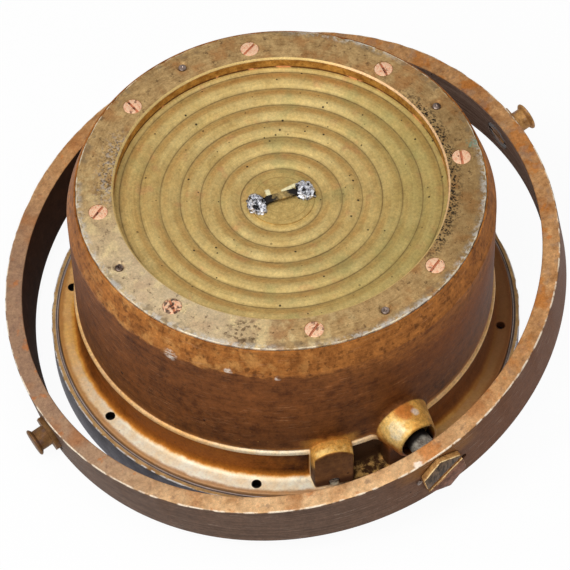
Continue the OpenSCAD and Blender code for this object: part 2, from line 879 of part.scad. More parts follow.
module post_nut() {
    color(brass)
        difference() {
            translate([0, 0, bridge_z - post_nut_t])
                cylinder(d = post_nut_af * 2 / sqrt(3), h = post_nut_t, $fn = 6);
            translate([0, 0, bridge_z - post_nut_t - cut])
                cylinder(r = post_thread_r + thread_fit, h = post_nut_t + 2 * cut);
        }
}

module pivot_point() {
    tip_z = pit_z + point_gap;
    color(steel)
        rotate_extrude($fn = 32)
            polygon([
                [0, tip_z], [0.1, tip_z], [point_r, tip_z + 2.4], [point_r, post_end_z + point_h - 0.2],
                [0, post_end_z + point_h - 0.2]
            ]);
}

module lubber_bracket() {
    color(brass)
        difference() {
            union() {
                translate([lubber_x - lubber_t, -lubber_w / 2, lubber_z])
                    cube([lubber_t, lubber_w, lubber_h]);
                lubber_pointer();
            }
            for (i = [0 : lubber_screw_n - 1])
                translate([lubber_x - lubber_t - cut, 0, lubber_z + lubber_screw_up + i * lubber_screw_pitch])
                    facing_right()
                        cylinder(r = lubber_screw_r + screw_clear, h = lubber_t + 2 * cut, $fn = 24);
        }
}

// Pointer that reaches in towards the card's edge
module lubber_pointer() {
    tip_x = card_r + lubber_gap;
    translate([0, 0, lubber_z])
        linear_extrude(lubber_t)
            polygon([
                [tip_x, -0.3], [lubber_x - lubber_t / 2, -lubber_w / 2],
                [lubber_x - lubber_t / 2, lubber_w / 2], [tip_x, 0.3]
            ]);
}

module lubber_screws() {
    color(steel)
        for (i = [0 : lubber_screw_n - 1])
            translate([lubber_x - lubber_t, 0, lubber_z + lubber_screw_up + i * lubber_screw_pitch])
                facing_right() {
                    cylinder(r = lubber_screw_r, h = lubber_t + lubber_screw_bite - 0.4, $fn = 24);
                    translate([0, 0, -lubber_head_h])
                        cylinder(r = lubber_head_r, h = lubber_head_h, $fn = 24);
                }
}

module gimbal_ring() {
    color(gimbal_tan)
        leaning()
            difference() {
                rotate_extrude()
                    polygon([
                        [ring_bore_r, -ring_h / 2 + ring_edge], [ring_bore_r + ring_edge, -ring_h / 2],
                        [ring_r - ring_edge, -ring_h / 2], [ring_r, -ring_h / 2 + ring_edge],
                        [ring_r, ring_h / 2 - ring_edge], [ring_r - ring_edge, ring_h / 2],
                        [ring_bore_r + ring_edge, ring_h / 2], [ring_bore_r, ring_h / 2 - ring_edge]
                    ]);
                front_and_rear() {
                    facing_front()
                        cylinder(r = pivot_thread_r + thread_fit, h = ring_r + cut);
                    translate([0, -pivot_seat_y, 0])
                        facing_front()
                            cylinder(r = pivot_head_af / sqrt(3) + 0.1, h = ring_t);
                    for (side = [-1, 1])
                        rotate([0, -keeper_turn, 0])
                            translate([side * keeper_side, -ring_r + keeper_depth, 0])
                                facing_front()
                                    cylinder(r = keeper_r + thread_fit, h = keeper_depth + cut, $fn = 24);
                    rotate([0, 0, 90])
                        trunnion_seat();
                }
            }
}

// Stud hole, collar seat and nut recess, cut at the ring's front
module trunnion_seat() {
    facing_front()
        cylinder(r = stud_r + thread_fit, h = ring_r + cut);
    translate([0, -collar_seat_x, 0])
        facing_front()
            cylinder(r = collar_af / sqrt(3) + 0.1, h = ring_t);
    facing_front()
        cylinder(r = nut_r + nut_gap, h = nut_x + nut_t);
}

// Pivot screw that lies along the front of the Y axis
module pivot_screw() {
    color(gimbal_tan)
        facing_front()
            difference() {
                union() {
                    rotate_extrude()
                        polygon([
                            [0, nose_y], [nose_r - 0.8, nose_y], [nose_r, nose_y + 0.8],
                            [nose_r, ring_bore_r - 1], [pivot_thread_r, ring_bore_r],
                            [pivot_thread_r, pivot_seat_y + 0.5], [0, pivot_seat_y + 0.5]
                        ]);
                    translate([0, 0, pivot_seat_y])
                        rotate([0, 0, pivot_head_turn])
                            cylinder(d = pivot_head_af * 2 / sqrt(3), h = pivot_head_t, $fn = 6);
                }
                translate([0, 0, pivot_seat_y + pivot_head_t - pivot_slot_d])
                    rotate([0, 0, pivot_slot_turn])
                        translate([-pivot_head_af, -pivot_slot_w / 2, 0])
                            cube([2 * pivot_head_af, pivot_slot_w, pivot_slot_d + cut]);
            }
}

module pivot_screw_front() {
    leaning()
        pivot_screw();
}

module pivot_screw_rear() {
    leaning()
        rotate([0, 0, 180])
            pivot_screw();
}

module keeper_pins() {
    bottom_y = ring_r - keeper_depth + 0.2;
    face_y = sqrt(pow(ring_r, 2) - pow(keeper_side, 2));
    color(steel)
        leaning()
            front_and_rear()
                rotate([0, -keeper_turn, 0]) {
                    translate([-keeper_side, -bottom_y, 0])
                        facing_front()
                            cylinder(r = keeper_r, h = face_y + keeper_proud - bottom_y, $fn = 24);
                    translate([keeper_side, -bottom_y, 0])
                        facing_front()
                            cylinder(r = keeper_r, h = face_y - keeper_sunk - bottom_y, $fn = 24);
                }
}

// Trunnion that points along +X
module trunnion() {
    color(gimbal_tan)
        facing_right()
            difference() {
                union() {
                    rotate_extrude()
                        polygon([
                            [0, nut_x], [stud_r, nut_x], [stud_r, collar_seat_x + 0.5],
                            [neck_r, collar_seat_x + 0.5], [neck_r, flare_x - 0.8],
                            [flare_r - 0.4, flare_x], [flare_r, flare_x + 0.4],
                            [flare_r, trunnion_end_x - 0.4], [flare_r - 0.6, trunnion_end_x],
                            [0, trunnion_end_x]
                        ]);
                    translate([0, 0, collar_seat_x])
                        rotate([0, 0, 30])
                            cylinder(d = collar_af * 2 / sqrt(3), h = collar_t, $fn = 6);
                }
                trunnion_slot();
            }
}

module trunnion_slot() {
    translate([-nut_slot_w / 2, -nut_r - cut, nut_x - cut])
        cube([nut_slot_w, 2 * (nut_r + cut), nut_slot_d + cut]);
}

module trunnion_right() {
    leaning()
        trunnion();
}

module trunnion_left() {
    leaning()
        rotate([0, 0, 180])
            trunnion();
}

module trunnion_nuts() {
    color(gimbal_tan)
        leaning()
            front_and_rear()
                facing_right()
                    difference() {
                        translate([0, 0, nut_x])
                            cylinder(r = nut_r, h = nut_t);
                        translate([0, 0, nut_x - cut])
                            cylinder(r = stud_r + thread_fit, h = nut_t + 2 * cut);
                        trunnion_slot();
                    }
}

module card_disc() {
    color(card_white)
        difference() {
            translate([0, 0, card_z])
                cylinder(r = card_r, h = card_t);
            translate([0, 0, card_z - cut])
                cylinder(r = cup_r + slide_fit, h = card_t + 2 * cut);
        }
}

module card_ring() {
    color(brass)
        difference() {
            translate([0, 0, base_z])
                cylinder(r = card_r, h = card_ring_t);
            translate([0, 0, base_z - cut])
                cylinder(r = card_r - card_ring_w, h = card_ring_t + 2 * cut);
        }
}

// Flat pan that closes the float on the card's side
module float_base() {
    color(brass)
        rotate_extrude()
            polygon([
                [cup_r + slide_fit, base_z], [float_r, base_z], [float_r, base_z + float_side_h],
                [float_r - float_t, base_z + float_side_h], [float_r - float_t, base_z + float_t],
                [cup_r + slide_fit, base_z + float_t]
            ]);
}

// Cone and well of the float
module float_dome() {
    rim_r_in = float_r - float_t - thread_fit;
    color(brass)
        rotate_extrude()
            polygon([
                [rim_r_in, base_z + float_side_h - 3], [rim_r_in, base_z + float_side_h],
                [cone_top_r, float_top], [well_r, float_top], [well_r, base_z + float_t],
                [well_r + float_t, base_z + float_t], [well_r + float_t, float_top - float_t],
                [cone_top_r - 0.3, float_top - float_t],
                [rim_r_in - float_t, base_z + float_side_h - 0.4],
                [rim_r_in - float_t, base_z + float_side_h - 3]
            ]);
}

module jewel_cup() {
    jewel_z = pit_z - jewel_h + pit_angle_drop;
    color(brass)
        rotate_extrude()
            polygon([
                [0, card_z - 0.8], [cup_r + 1.4, card_z - 0.8], [cup_r + 1.4, card_z],
                [cup_r, card_z], [cup_r, base_z + float_t + 1], [jewel_r + 1.4, jewel_z + jewel_h],
                [jewel_r + thread_fit, jewel_z + jewel_h], [jewel_r + thread_fit, jewel_z],
                [0, jewel_z]
            ]);
}

module jewel() {
    jewel_z = pit_z - jewel_h + pit_angle_drop;
    color(jewel_red)
        rotate_extrude($fn = 48)
            polygon([
                [0, jewel_z], [jewel_r, jewel_z], [jewel_r, pit_z + pit_angle_drop],
                [pit_angle_drop, pit_z + pit_angle_drop], [0, pit_z]
            ]);
}

module magnet_frame() {
    color(brass)
        translate([0, 0, frame_z])
            difference() {
                union() {
                    cylinder(r = cone_top_r + 3, h = frame_t);
                    for (side = [-1, 1])
                        translate([-magnet_x - frame_arm_w / 2, side * clip_y - frame_arm_w / 2, 0])
                            cube([2 * magnet_x + frame_arm_w, frame_arm_w, frame_t]);
                    translate([-frame_arm_w / 2, -clip_y, 0])
                        cube([frame_arm_w, 2 * clip_y, frame_t]);
                }
                translate([0, 0, -cut])
                    cylinder(r = well_r, h = frame_t + 2 * cut);
            }
}

module magnet_clips() {
    clip_w = 2 * (magnet_r + clip_wall);
    color(brass)
        for (side = [-1, 1], end = [-1, 1])
            translate([side * magnet_x, end * clip_y + clip_l / 2, magnet_z])
                facing_front()
                    difference() {
                        union() {
                            translate([-clip_w / 2, -magnet_r, 0])
                                cube([clip_w, magnet_r, clip_l]);
                            cylinder(r = magnet_r + clip_wall, h = clip_l);
                        }
                        translate([0, 0, -cut])
                            cylinder(r = magnet_r + thread_fit, h = clip_l + 2 * cut);
                        translate([-clip_w, -2 * magnet_r - clip_wall, -cut])
                            cube([2 * clip_w, magnet_r + clip_wall, clip_l + 2 * cut]);
                    }
}

module magnets() {
    color(steel)
        for (side = [-1, 1])
            translate([side * magnet_x, magnet_l / 2, magnet_z])
                facing_front()
                    cylinder(r = magnet_r, h = magnet_l);
}

bowl();
clamp_ring();
clamp_screws();
ring_dowels();
diaphragm();
diaphragm_gasket();
centre_disc();
centre_bar();
solder_joints();
bezel_ring();
bezel_screws();
glass();
glass_packing();
filler_plug();
filler_washer();
pivot_bushes();
bridge();
bridge_screws();
pivot_post();
post_nut();
pivot_point();
lubber_bracket();
lubber_screws();
gimbal_ring();
pivot_screw_front();
pivot_screw_rear();
keeper_pins();
trunnion_left();
trunnion_right();
trunnion_nuts();
card_disc();
card_ring();
float_base();
float_dome();
jewel_cup();
jewel();
magnet_frame();
magnet_clips();
magnets();
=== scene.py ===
import math

import bmesh
import bpy
from mathutils import Matrix, Vector, noise


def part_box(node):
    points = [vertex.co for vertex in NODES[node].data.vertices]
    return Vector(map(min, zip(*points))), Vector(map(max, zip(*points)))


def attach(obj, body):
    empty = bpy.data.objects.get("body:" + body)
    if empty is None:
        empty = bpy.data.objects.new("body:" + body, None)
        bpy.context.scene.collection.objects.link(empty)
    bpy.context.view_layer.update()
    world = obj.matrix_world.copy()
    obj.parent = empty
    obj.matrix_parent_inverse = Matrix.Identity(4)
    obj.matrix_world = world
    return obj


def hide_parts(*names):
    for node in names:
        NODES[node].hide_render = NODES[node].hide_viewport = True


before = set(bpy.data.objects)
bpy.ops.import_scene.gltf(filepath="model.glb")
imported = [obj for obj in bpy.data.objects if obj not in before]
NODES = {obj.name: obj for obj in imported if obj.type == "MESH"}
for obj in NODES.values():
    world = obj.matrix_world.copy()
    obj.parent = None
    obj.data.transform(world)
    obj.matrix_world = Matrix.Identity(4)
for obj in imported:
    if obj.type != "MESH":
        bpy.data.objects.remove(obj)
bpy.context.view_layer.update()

MM = 0.001

# The photograph's camera, fitted to the object's own circles
PICTURE_PX = 570
FOCAL_PX = 3240.56
CAMERA_TURN = math.radians(-31)
CAMERA_RISE = math.radians(52.36)
CAMERA_ROLL = math.radians(-2.09)
CAMERA_AWAY = 1.64098
CAMERA_TARGET = Vector((0.01366, 0.02222, 0))
SENSOR_MM = 36

# Light
LAMPS_AIM = Vector((0, 0, 0.05))
FLOOR_GLOW = 0.94
SKY_LIGHT = 0.42

# Directions round the bowl, in degrees from the X axis
NEAR_SIDE = -121
LUG_AZIMUTH = -110.3
BAR_AZIMUTH = -13

# Sizes in millimetres, as the CAD part has them
wall_r = 102.6
inner_r = 98.0
neck_r = 101.2
rim_r = 98.4
rebate_r = 97.6
clamp_r = 97.5
open_r = 79.5
flange_r = 112.8
flange_z = 8.5
flange_top = 16.6
cove_r = 5.0
bead_z = 36.6
bead_r = 1.7
bead_out = 1.2
shoulder_z = 99.3
rim_z = 111.4
ledge_top = 104.0
ledge_z = 95.9
seat_z = 11.9
glass_bore_r = 103.5
clamp_z = 105.7
clamp_top = 112.2
pivot_z = 40.25
boss_root_r = 14.2
boss_face_r = 10.6
boss_face_y = 117.8
boss_bore_r = 9.0
boss_bore_y = 103.5
foot_half_w = 6.6
foot_wide = 10.8
foot_out = 6.4
ring_bore_r = 129.01
ring_r = 137.61
ring_h = 29.0
ring_tilt = 10.896
flange_screw_r = 107.3
flange_screw_az = 5.0
flange_hole_r = 2.15
clamp_screw_r = 87.5
clamp_screw_az = 22.5
dowel_circle_r = 89.3
crease_r = 19.5
crease_pitch = 9.6
ridges = 6
sheet_rim_r = 97.4
bezel_r = 116.45
bezel_top = 15.0
bezel_face_r = 99.8
bezel_bore_r = 113.05
window_r = 96.8
window_bevel = 3.0
lip_t = 5.0
pivot_hole_r = 7.05
pivot_corner_r = 12.46
pivot_seat_y = 137.004
keeper_hole_r = 1.45
keeper_end_y = 132.6
keeper_side = 12.7
keeper_turn = 8
nut_hole_r = 8.1
nut_seat_x = 131.6
stud_hole_r = 5.05
collar_hole_r = 10.15
collar_seat_x = 137.19


def srgb(red, green, blue):
    """A colour as a picture shows it, 0 to 255, in the numbers that a shader takes."""
    parts = []
    for part in (red, green, blue):
        share = part / 255
        parts.append(share / 12.92 if share <= 0.04045 else ((share + 0.055) / 1.055) ** 2.4)
    return (*parts, 1.0)


# Materials


class Value:
    """A number in a node tree, which adds and scales like a plain one."""

    def __init__(self, tree, socket):
        self.tree = tree
        self.socket = socket

    def run(self, operation, *others, clamp=False):
        made = self.tree.node("ShaderNodeMath", {"operation": operation, "use_clamp": clamp})
        for slot, value in zip(made.inputs, (self, *others)):
            self.tree.feed(slot, value)
        return Value(self.tree, made.outputs[0])

    def __add__(self, other):
        return self.run("ADD", other)

    def __sub__(self, other):
        return self.run("SUBTRACT", other)

    def __mul__(self, other):
        return self.run("MULTIPLY", other)

    def __truediv__(self, other):
        return self.run("DIVIDE", other)

    def __pow__(self, other):
        return self.run("POWER", other)

    def __neg__(self):
        return self * -1.0

    def __rsub__(self, other):
        return -self + other

    def __abs__(self):
        return self.run("ABSOLUTE")

    __radd__ = __add__
    __rmul__ = __mul__

    def most(self, other):
        return self.run("MAXIMUM", other)

    def least(self, other):
        return self.run("MINIMUM", other)

    def clipped(self):
        return self.run("ADD", 0.0, clamp=True)

    def rise(self, start, end):
        """0 below start, 1 above end and smooth between them; the other way round if start is higher."""
        rising = start < end
        made = self.tree.node(
            "ShaderNodeMapRange", {"interpolation_type": "SMOOTHSTEP"}, Value=self,
            From_Min=min(start, end), From_Max=max(start, end),
            To_Min=0.0 if rising else 1.0, To_Max=1.0 if rising else 0.0,
        )
        return Value(self.tree, made.outputs["Result"])

    def band(self, low, high, soft):
        """1 between low and high, with soft edges."""
        return self.rise(low - soft, low + soft) * self.rise(high + soft, high - soft)


class Tree:
    """A node tree in the making."""

    def __init__(self, tree):
        self.tree = tree

    def feed(self, slot, value):
        """A socket takes a link, a number, or a colour as a picture shows it."""
        if isinstance(value, Value):
            value = value.socket
        if isinstance(value, bpy.types.NodeSocket):
            self.tree.links.new(value, slot)
        elif isinstance(value, tuple) and len(value) == 3:
            slot.default_value = srgb(*value)
        else:
            slot.default_value = value

    def node(self, kind, settings=None, **inputs):
        """Any node: its settings, and its inputs by name with _ for a space, or by number after _."""
        made = self.tree.nodes.new(kind)
        for name, value in (settings or {}).items():
            setattr(made, name, value)
        for name, value in inputs.items():
            slot = made.inputs[int(name[1:])] if name[1:].isdigit() else made.inputs[name.replace("_", " ")]
            self.feed(slot, value)
        return made

    def vector(self, x=0.0, y=0.0, z=0.0):
        return self.node("ShaderNodeCombineXYZ", X=x, Y=y, Z=z).outputs[0]

    def apart(self, vector):
        """The three numbers of a vector."""
        return [Value(self, out) for out in self.node("ShaderNodeSeparateXYZ", _0=vector).outputs]


class Finish(Tree):
    """A material in the making, with the place of a point in millimetres round a centre."""

    def __init__(self, name, centre=(0, 0, 0), turn=(0, 0, 0)):
        self.material = bpy.data.materials.new(name)
        self.material.use_nodes = True
        super().__init__(self.material.node_tree)
        self.shader = self.tree.nodes["Principled BSDF"]
        where = self.node("ShaderNodeTexCoord").outputs["Object"]
        mapping = self.node("ShaderNodeMapping", {"vector_type": "TEXTURE"}, Vector=where)
        mapping.inputs["Location"].default_value = [part * MM for part in centre]
        mapping.inputs["Rotation"].default_value = turn
        mapping.inputs["Scale"].default_value = (MM, MM, MM)
        self.place = mapping.outputs["Vector"]
        self.x, self.y, self.z = self.apart(self.place)
        self.r = (self.x * self.x + self.y * self.y).run("SQRT")

    def stretched(self, x, y, z):
        made = self.node("ShaderNodeVectorMath", {"operation": "MULTIPLY"}, _0=self.place)
        made.inputs[1].default_value = (x, y, z)
        return made.outputs[0]

    def cloud(self, size, seed, detail=4.0, rough=0.55, at=None):
        """Soft noise from 0 to 1, whose lumps are about size millimetres wide."""
        made = self.node(
            "ShaderNodeTexNoise", {"noise_dimensions": "4D"}, Vector=at or self.place,
            W=float(seed), Scale=1.0 / size, Detail=detail, Roughness=rough,
        )
        return Value(self, made.outputs["Fac"])

    def turned(self, along, seed, pitch=1.0, length=30.0, detail=3.0):
        """Fine lines that run round the axis, as a lathe or a brush leaves them; along is r or z."""
        reach = 100.0 / length
        at = self.vector(self.x / self.r * reach, self.y / self.r * reach, along / pitch)
        return self.cloud(1.0, seed, detail, 0.6, at)

    def scratches(self, along, seed, pitch=0.45, length=8.0):
        """Short bright scratches round the axis, in patches."""
        lines = self.turned(along, seed, pitch, length, 1.0).rise(0.63, 0.7)
        return lines * self.cloud(14, seed + 0.5, 2).rise(0.42, 0.58)

    def across(self, azimuth):
        """How far a point lies from the axis towards an azimuth."""
        angle = math.radians(azimuth)
        return self.x * math.cos(angle) + self.y * math.sin(angle)

    def sector(self, azimuth, half, soft):
        """1 within half degrees of an azimuth round the axis, fading over soft degrees."""
        near = math.cos(math.radians(max(half - soft, 0)))
        far = math.cos(math.radians(min(half + soft, 180)))
        return (self.across(azimuth) / self.r).rise(far, near)

    def spot(self, x, y, z, radius):
        """1 round a place up to about that distance, with a torn edge."""
        made = self.node("ShaderNodeVectorMath", {"operation": "DISTANCE"}, _0=self.place)
        made.inputs[1].default_value = (x, y, z)
        torn = (self.cloud(3, 140, 4) - 0.5) * (radius * 1.6)
        return (Value(self, made.outputs["Value"]) + torn).rise(radius * 1.2, radius * 0.6)

    def specks(self, pitch, radius, seed, share):
        """Scattered round dots of that radius; share is how many of the places hold one."""
        made = self.node(
            "ShaderNodeTexVoronoi", {"voronoi_dimensions": "4D"}, Vector=self.place,
            W=float(seed), Scale=1.0 / pitch,
        )
        dots = Value(self, made.outputs["Distance"]).rise(radius * 1.25 / pitch, radius * 0.75 / pitch)
        pick = self.node("ShaderNodeSeparateColor", Color=made.outputs["Color"])
        return dots * Value(self, pick.outputs[0]).rise(share + 0.01, share - 0.01)

    def mix(self, first, second, share):
        return self.node("ShaderNodeMix", {"data_type": "RGBA"}, _0=share, _6=first, _7=second).outputs[2]

    def layers(self, colour, *coats):
        """Coats laid over a colour one after another, each a colour and how much of it covers."""
        for coat, share in coats:
            colour = self.mix(colour, coat, share)
        return colour

    def shade(self, colour, amount):
        """The colour times a number."""
        return self.node("ShaderNodeVectorMath", {"operation": "SCALE"}, _0=colour, Scale=amount).outputs[0]

    def bump(self, height, depth, under=None):
        """Relief of that depth in millimetres, over another relief if one is given."""
        made = self.node("ShaderNodeBump", Strength=1.0, Distance=depth * MM, Height=height)
        if under is not None:
            self.feed(made.inputs["Normal"], under)
        return made.outputs[0]

    def done(self, colour, rough, metal, relief, **constants):
        """The finished material; a constant goes by the name of its socket, with _ for a space."""
        values = {"Base Color": colour, "Roughness": rough, "Metallic": metal, "Normal": relief}
        values.update({name.replace("_", " "): value for name, value in constants.items()})
        for name, value in values.items():
            self.feed(self.shader.inputs[name], value)
        return self.material


def cast_bronze():
    """The bowl: dark patina on the wall, a brushed shoulder, and gold on the foot and bosses, with painted
    cream highlights on the flange, bead and bosses and painted shade under the bead.
    """
    f = Finish("cast_bronze")
    ragged = f.cloud(9, 1, 6, 0.65) - 0.5
    torn = f.cloud(2.4, 17, 5, 0.65) - 0.5
    fine = f.cloud(1.2, 2, 7, 0.78)
    mottle = f.cloud(5, 3, 6, 0.72)
    brushed = f.turned(f.z, 5)
    tone = mottle * 1.7 + brushed * 0.6 + f.turned(f.z, 18, 3.2, 70) * 0.5
    tone = (tone + f.cloud(34, 4) * 0.7 - 1.25).clipped()
    warm = f.sector(-38, 34, 26) * f.z.rise(38, 80)
    flecks = f.specks(2.2, 0.4, 20, 0.5) * f.sector(-158, 40, 20) * f.z.rise(62, 40)
    wall = f.layers(
        f.mix((60, 29, 13), (146, 88, 44), tone),
        ((38, 22, 14), f.cloud(7, 19, 6, 0.7).rise(0.55, 0.7) * 0.5),
        ((168, 96, 42), warm * (0.15 + 0.6 * f.cloud(14, 6))),
        ((200, 144, 74), flecks * 0.6),
    )
    border = f.z + ragged * 11 + torn * 6
    faded = f.sector(-52, 44, 26)
    shoulder = f.layers(
        f.mix((92, 46, 16), (198, 128, 62), tone),
        ((206, 150, 84), f.sector(-150, 30, 20) * f.cloud(6, 21).rise(0.45, 0.65) * 0.6),
        ((78, 42, 18), f.cloud(2.6, 7, 5).rise(0.54, 0.66) * 0.6),
    )
    chips = f.spot(-91.2, -47.1, 97.3, 3.3) + f.spot(-74.3, -70.7, 98.5, 2) + f.spot(-56.7, -85.5, 96.4, 1.6)
    chips = chips.clipped() * f.cloud(2.8, 22, 4, at=f.stretched(1, 1, 2)).rise(0.42, 0.56)
    colour = f.layers(
        f.mix(wall, shoulder, border.rise(95.8, 98.4) * (1.0 - faded) + border.rise(80, 101) * faded),
        ((196, 146, 104), f.scratches(f.z, 10) * 0.4),
        ((222, 210, 196), chips * 0.75),
    )

    # Painted highlight: cream on the flange, widest on the front left, and reaching further in towards the
    # neck at the front.
    highlight_reach = f.sector(-126, 36, 34)
    creamy = f.sector(-140, 40, 24)
    bead = f.z.band(34.4, 38.8, 0.5) * f.r.rise(102.2, 102.7)
    gold = f.mix((186, 106, 30), (252, 198, 102), (mottle * 1.8 - 0.35).clipped())
    cream = f.mix((244, 204, 138), (255, 248, 226), (f.cloud(7, 11, 5) * 2.2 - 0.4).clipped())
    outward = f.r + ragged * 2.5 + torn + highlight_reach * 2.2
    lit = f.sector(-150, 24, 20) * 0.6 - f.sector(-108, 16, 12) * 0.7
    hole_turn = (f.y.run("ARCTAN2", f.x) * (4 / math.pi) + 0.5 - flange_screw_az / 45).run("FRACT") - 0.5
    hole_turn = hole_turn * (flange_screw_r * math.pi / 4)
    off_hole = (hole_turn * hole_turn + (f.r - flange_screw_r) * (f.r - flange_screw_r)).run("SQRT")
    # Painted shade in the corner between the lug and the front boss, with gold patches of painted light on
    # the flange there.
    corner = f.sector(-101, 8, 4) * f.r.rise(99, 101)
    crust = f.spot(-47, -90, 17, 5) * f.cloud(2, 12, 5).rise(0.42, 0.55) * f.z.rise(18, 17)
    # The foot: painted shade under the bead, lighter where lit on the front left and darker beside the lug,
    # turning through orange and gold outward to the painted cream highlight; darker on the right of the
    # flange.
    foot = f.layers(
        f.mix((58, 26, 8), (150, 86, 32), (tone + lit).clipped()),
        ((196, 120, 42), outward.rise(103.0, 105.0) * 0.9),
        (gold, outward.rise(104.4, 105.6)),
        (cream, (outward + creamy * 0.8).rise(105.6, 107.2) * (0.15 + 0.85 * creamy)),
        ((184, 126, 66), (f.r + ragged * 4).rise(109.4, 111.4) * 0.85),
        ((120, 76, 38), f.specks(3, 0.3, 23, 0.35) * 0.6),
        # Painted shade round and in the flange holes.
        ((20, 14, 10), off_hole.rise(2.6, 2.3)),
        ((120, 74, 44), f.sector(-20, 46, 28) * (0.75 + 0.25 * mottle)),
        (f.mix((70, 44, 24), (206, 160, 92), mottle.rise(0.46, 0.62) * f.z.rise(20, 17)), corner),
        ((214, 206, 188), crust * 0.8),
    )
    # Painted highlight on the bead, cream at the front and gold elsewhere, with a painted orange halo round
    # it and painted gold light where the bead meets the lug.
    halo = f.z.band(36.0, 40.5, 1.5) * f.r.rise(100.5, 101.5) * f.cloud(12, 24).rise(0.3, 0.6)
    glow = f.sector(LUG_AZIMUTH, 6, 3) * (f.z + ragged * 8).band(38, 45, 2)
    colour = f.layers(
        colour,
        (foot, f.z.rise(35.2, 34.4)),
        ((190, 124, 62), halo * 0.55),
        (f.mix(gold, cream, 0.25 + f.sector(-120, 16, 12) * 0.65), bead * 0.95),
        (gold, glow * 0.7),
    )

    knob = f.r.rise(103.9, 104.7) * f.z.rise(17.3, 18.3)
    on_lug = f.sector(LUG_AZIMUTH, 6.5, 0.8)
    crown = f.layers(
        f.mix((160, 92, 30), (246, 192, 98), (f.cloud(3.6, 13, 6, 0.68) * 2.2 - 0.55).clipped()),
        # Painted highlights on the boss's upper left.
        ((250, 214, 132), f.spot(-9, -111, 47, 8.5) * 0.7),
        ((250, 234, 196), f.spot(-8.5, -112, 48.5, 5) * (mottle * 2 - 0.4).clipped()),
        ((182, 104, 42), f.spot(-1, -106.5, 53, 5) * 0.85),
        ((234, 224, 214), f.spot(3.5, -110, 52.5, 1.9) * 0.55),
        # Painted highlight along the lug's crown.
        ((252, 212, 132), on_lug * f.across(LUG_AZIMUTH).band(106, 109.2, 1) * f.cloud(5, 25).rise(0.4, 0.6)),
    )
    # Darker towards the bottom, partly patina and partly painted shade.
    crown = f.mix((148, 82, 30), crown, (f.z + ragged * 14).rise(36, 44).most(on_lug))
    crown = f.mix((78, 44, 24), crown, (f.z + ragged * 12).rise(27, 36))
    # The lug's front face is painted darker as shade.
    front_face = f.across(LUG_AZIMUTH).rise(109.3, 110.0) * on_lug
    front_face = front_face * (f.z + ragged * 6).rise(20, 24)
    crown = f.mix(crown, f.mix((82, 48, 26), (150, 98, 54), (mottle * 2.4 - 0.7).clipped()), front_face)
    off_pivot = (f.x * f.x + (f.z - pivot_z) * (f.z - pivot_z)).run("SQRT")
    colour = f.layers(
        colour,
        (crown, knob),
        # Painted shade inside the pivot bores.
        ((30, 20, 14), off_pivot.rise(9.5, 9.0) * f.r.rise(103.0, 103.6)),
    )

    dark = f.specks(6.5, 0.75, 15, 0.22) + f.spot(-101.4, -15.8, 55.3, 1) + f.spot(-83, -60.3, 54.6, 0.8)
    dark = dark.clipped()
    calm = f.z.rise(40, 34) * f.r.rise(102, 104)
    colour = f.mix(colour, (30, 18, 12), dark * 0.85)
    colour = f.shade(colour, (fine - 0.5) * (1.9 - calm * 1.1) + 1.0)
    relief = f.bump(fine + brushed * 0.4 - dark, 0.14)
    relief = f.bump(f.cloud(11, 16, 2), 0.35, relief)
    return f.done(colour, 0.4 + 0.35 * fine, 0.4, relief, Specular_IOR_Level=0.12)


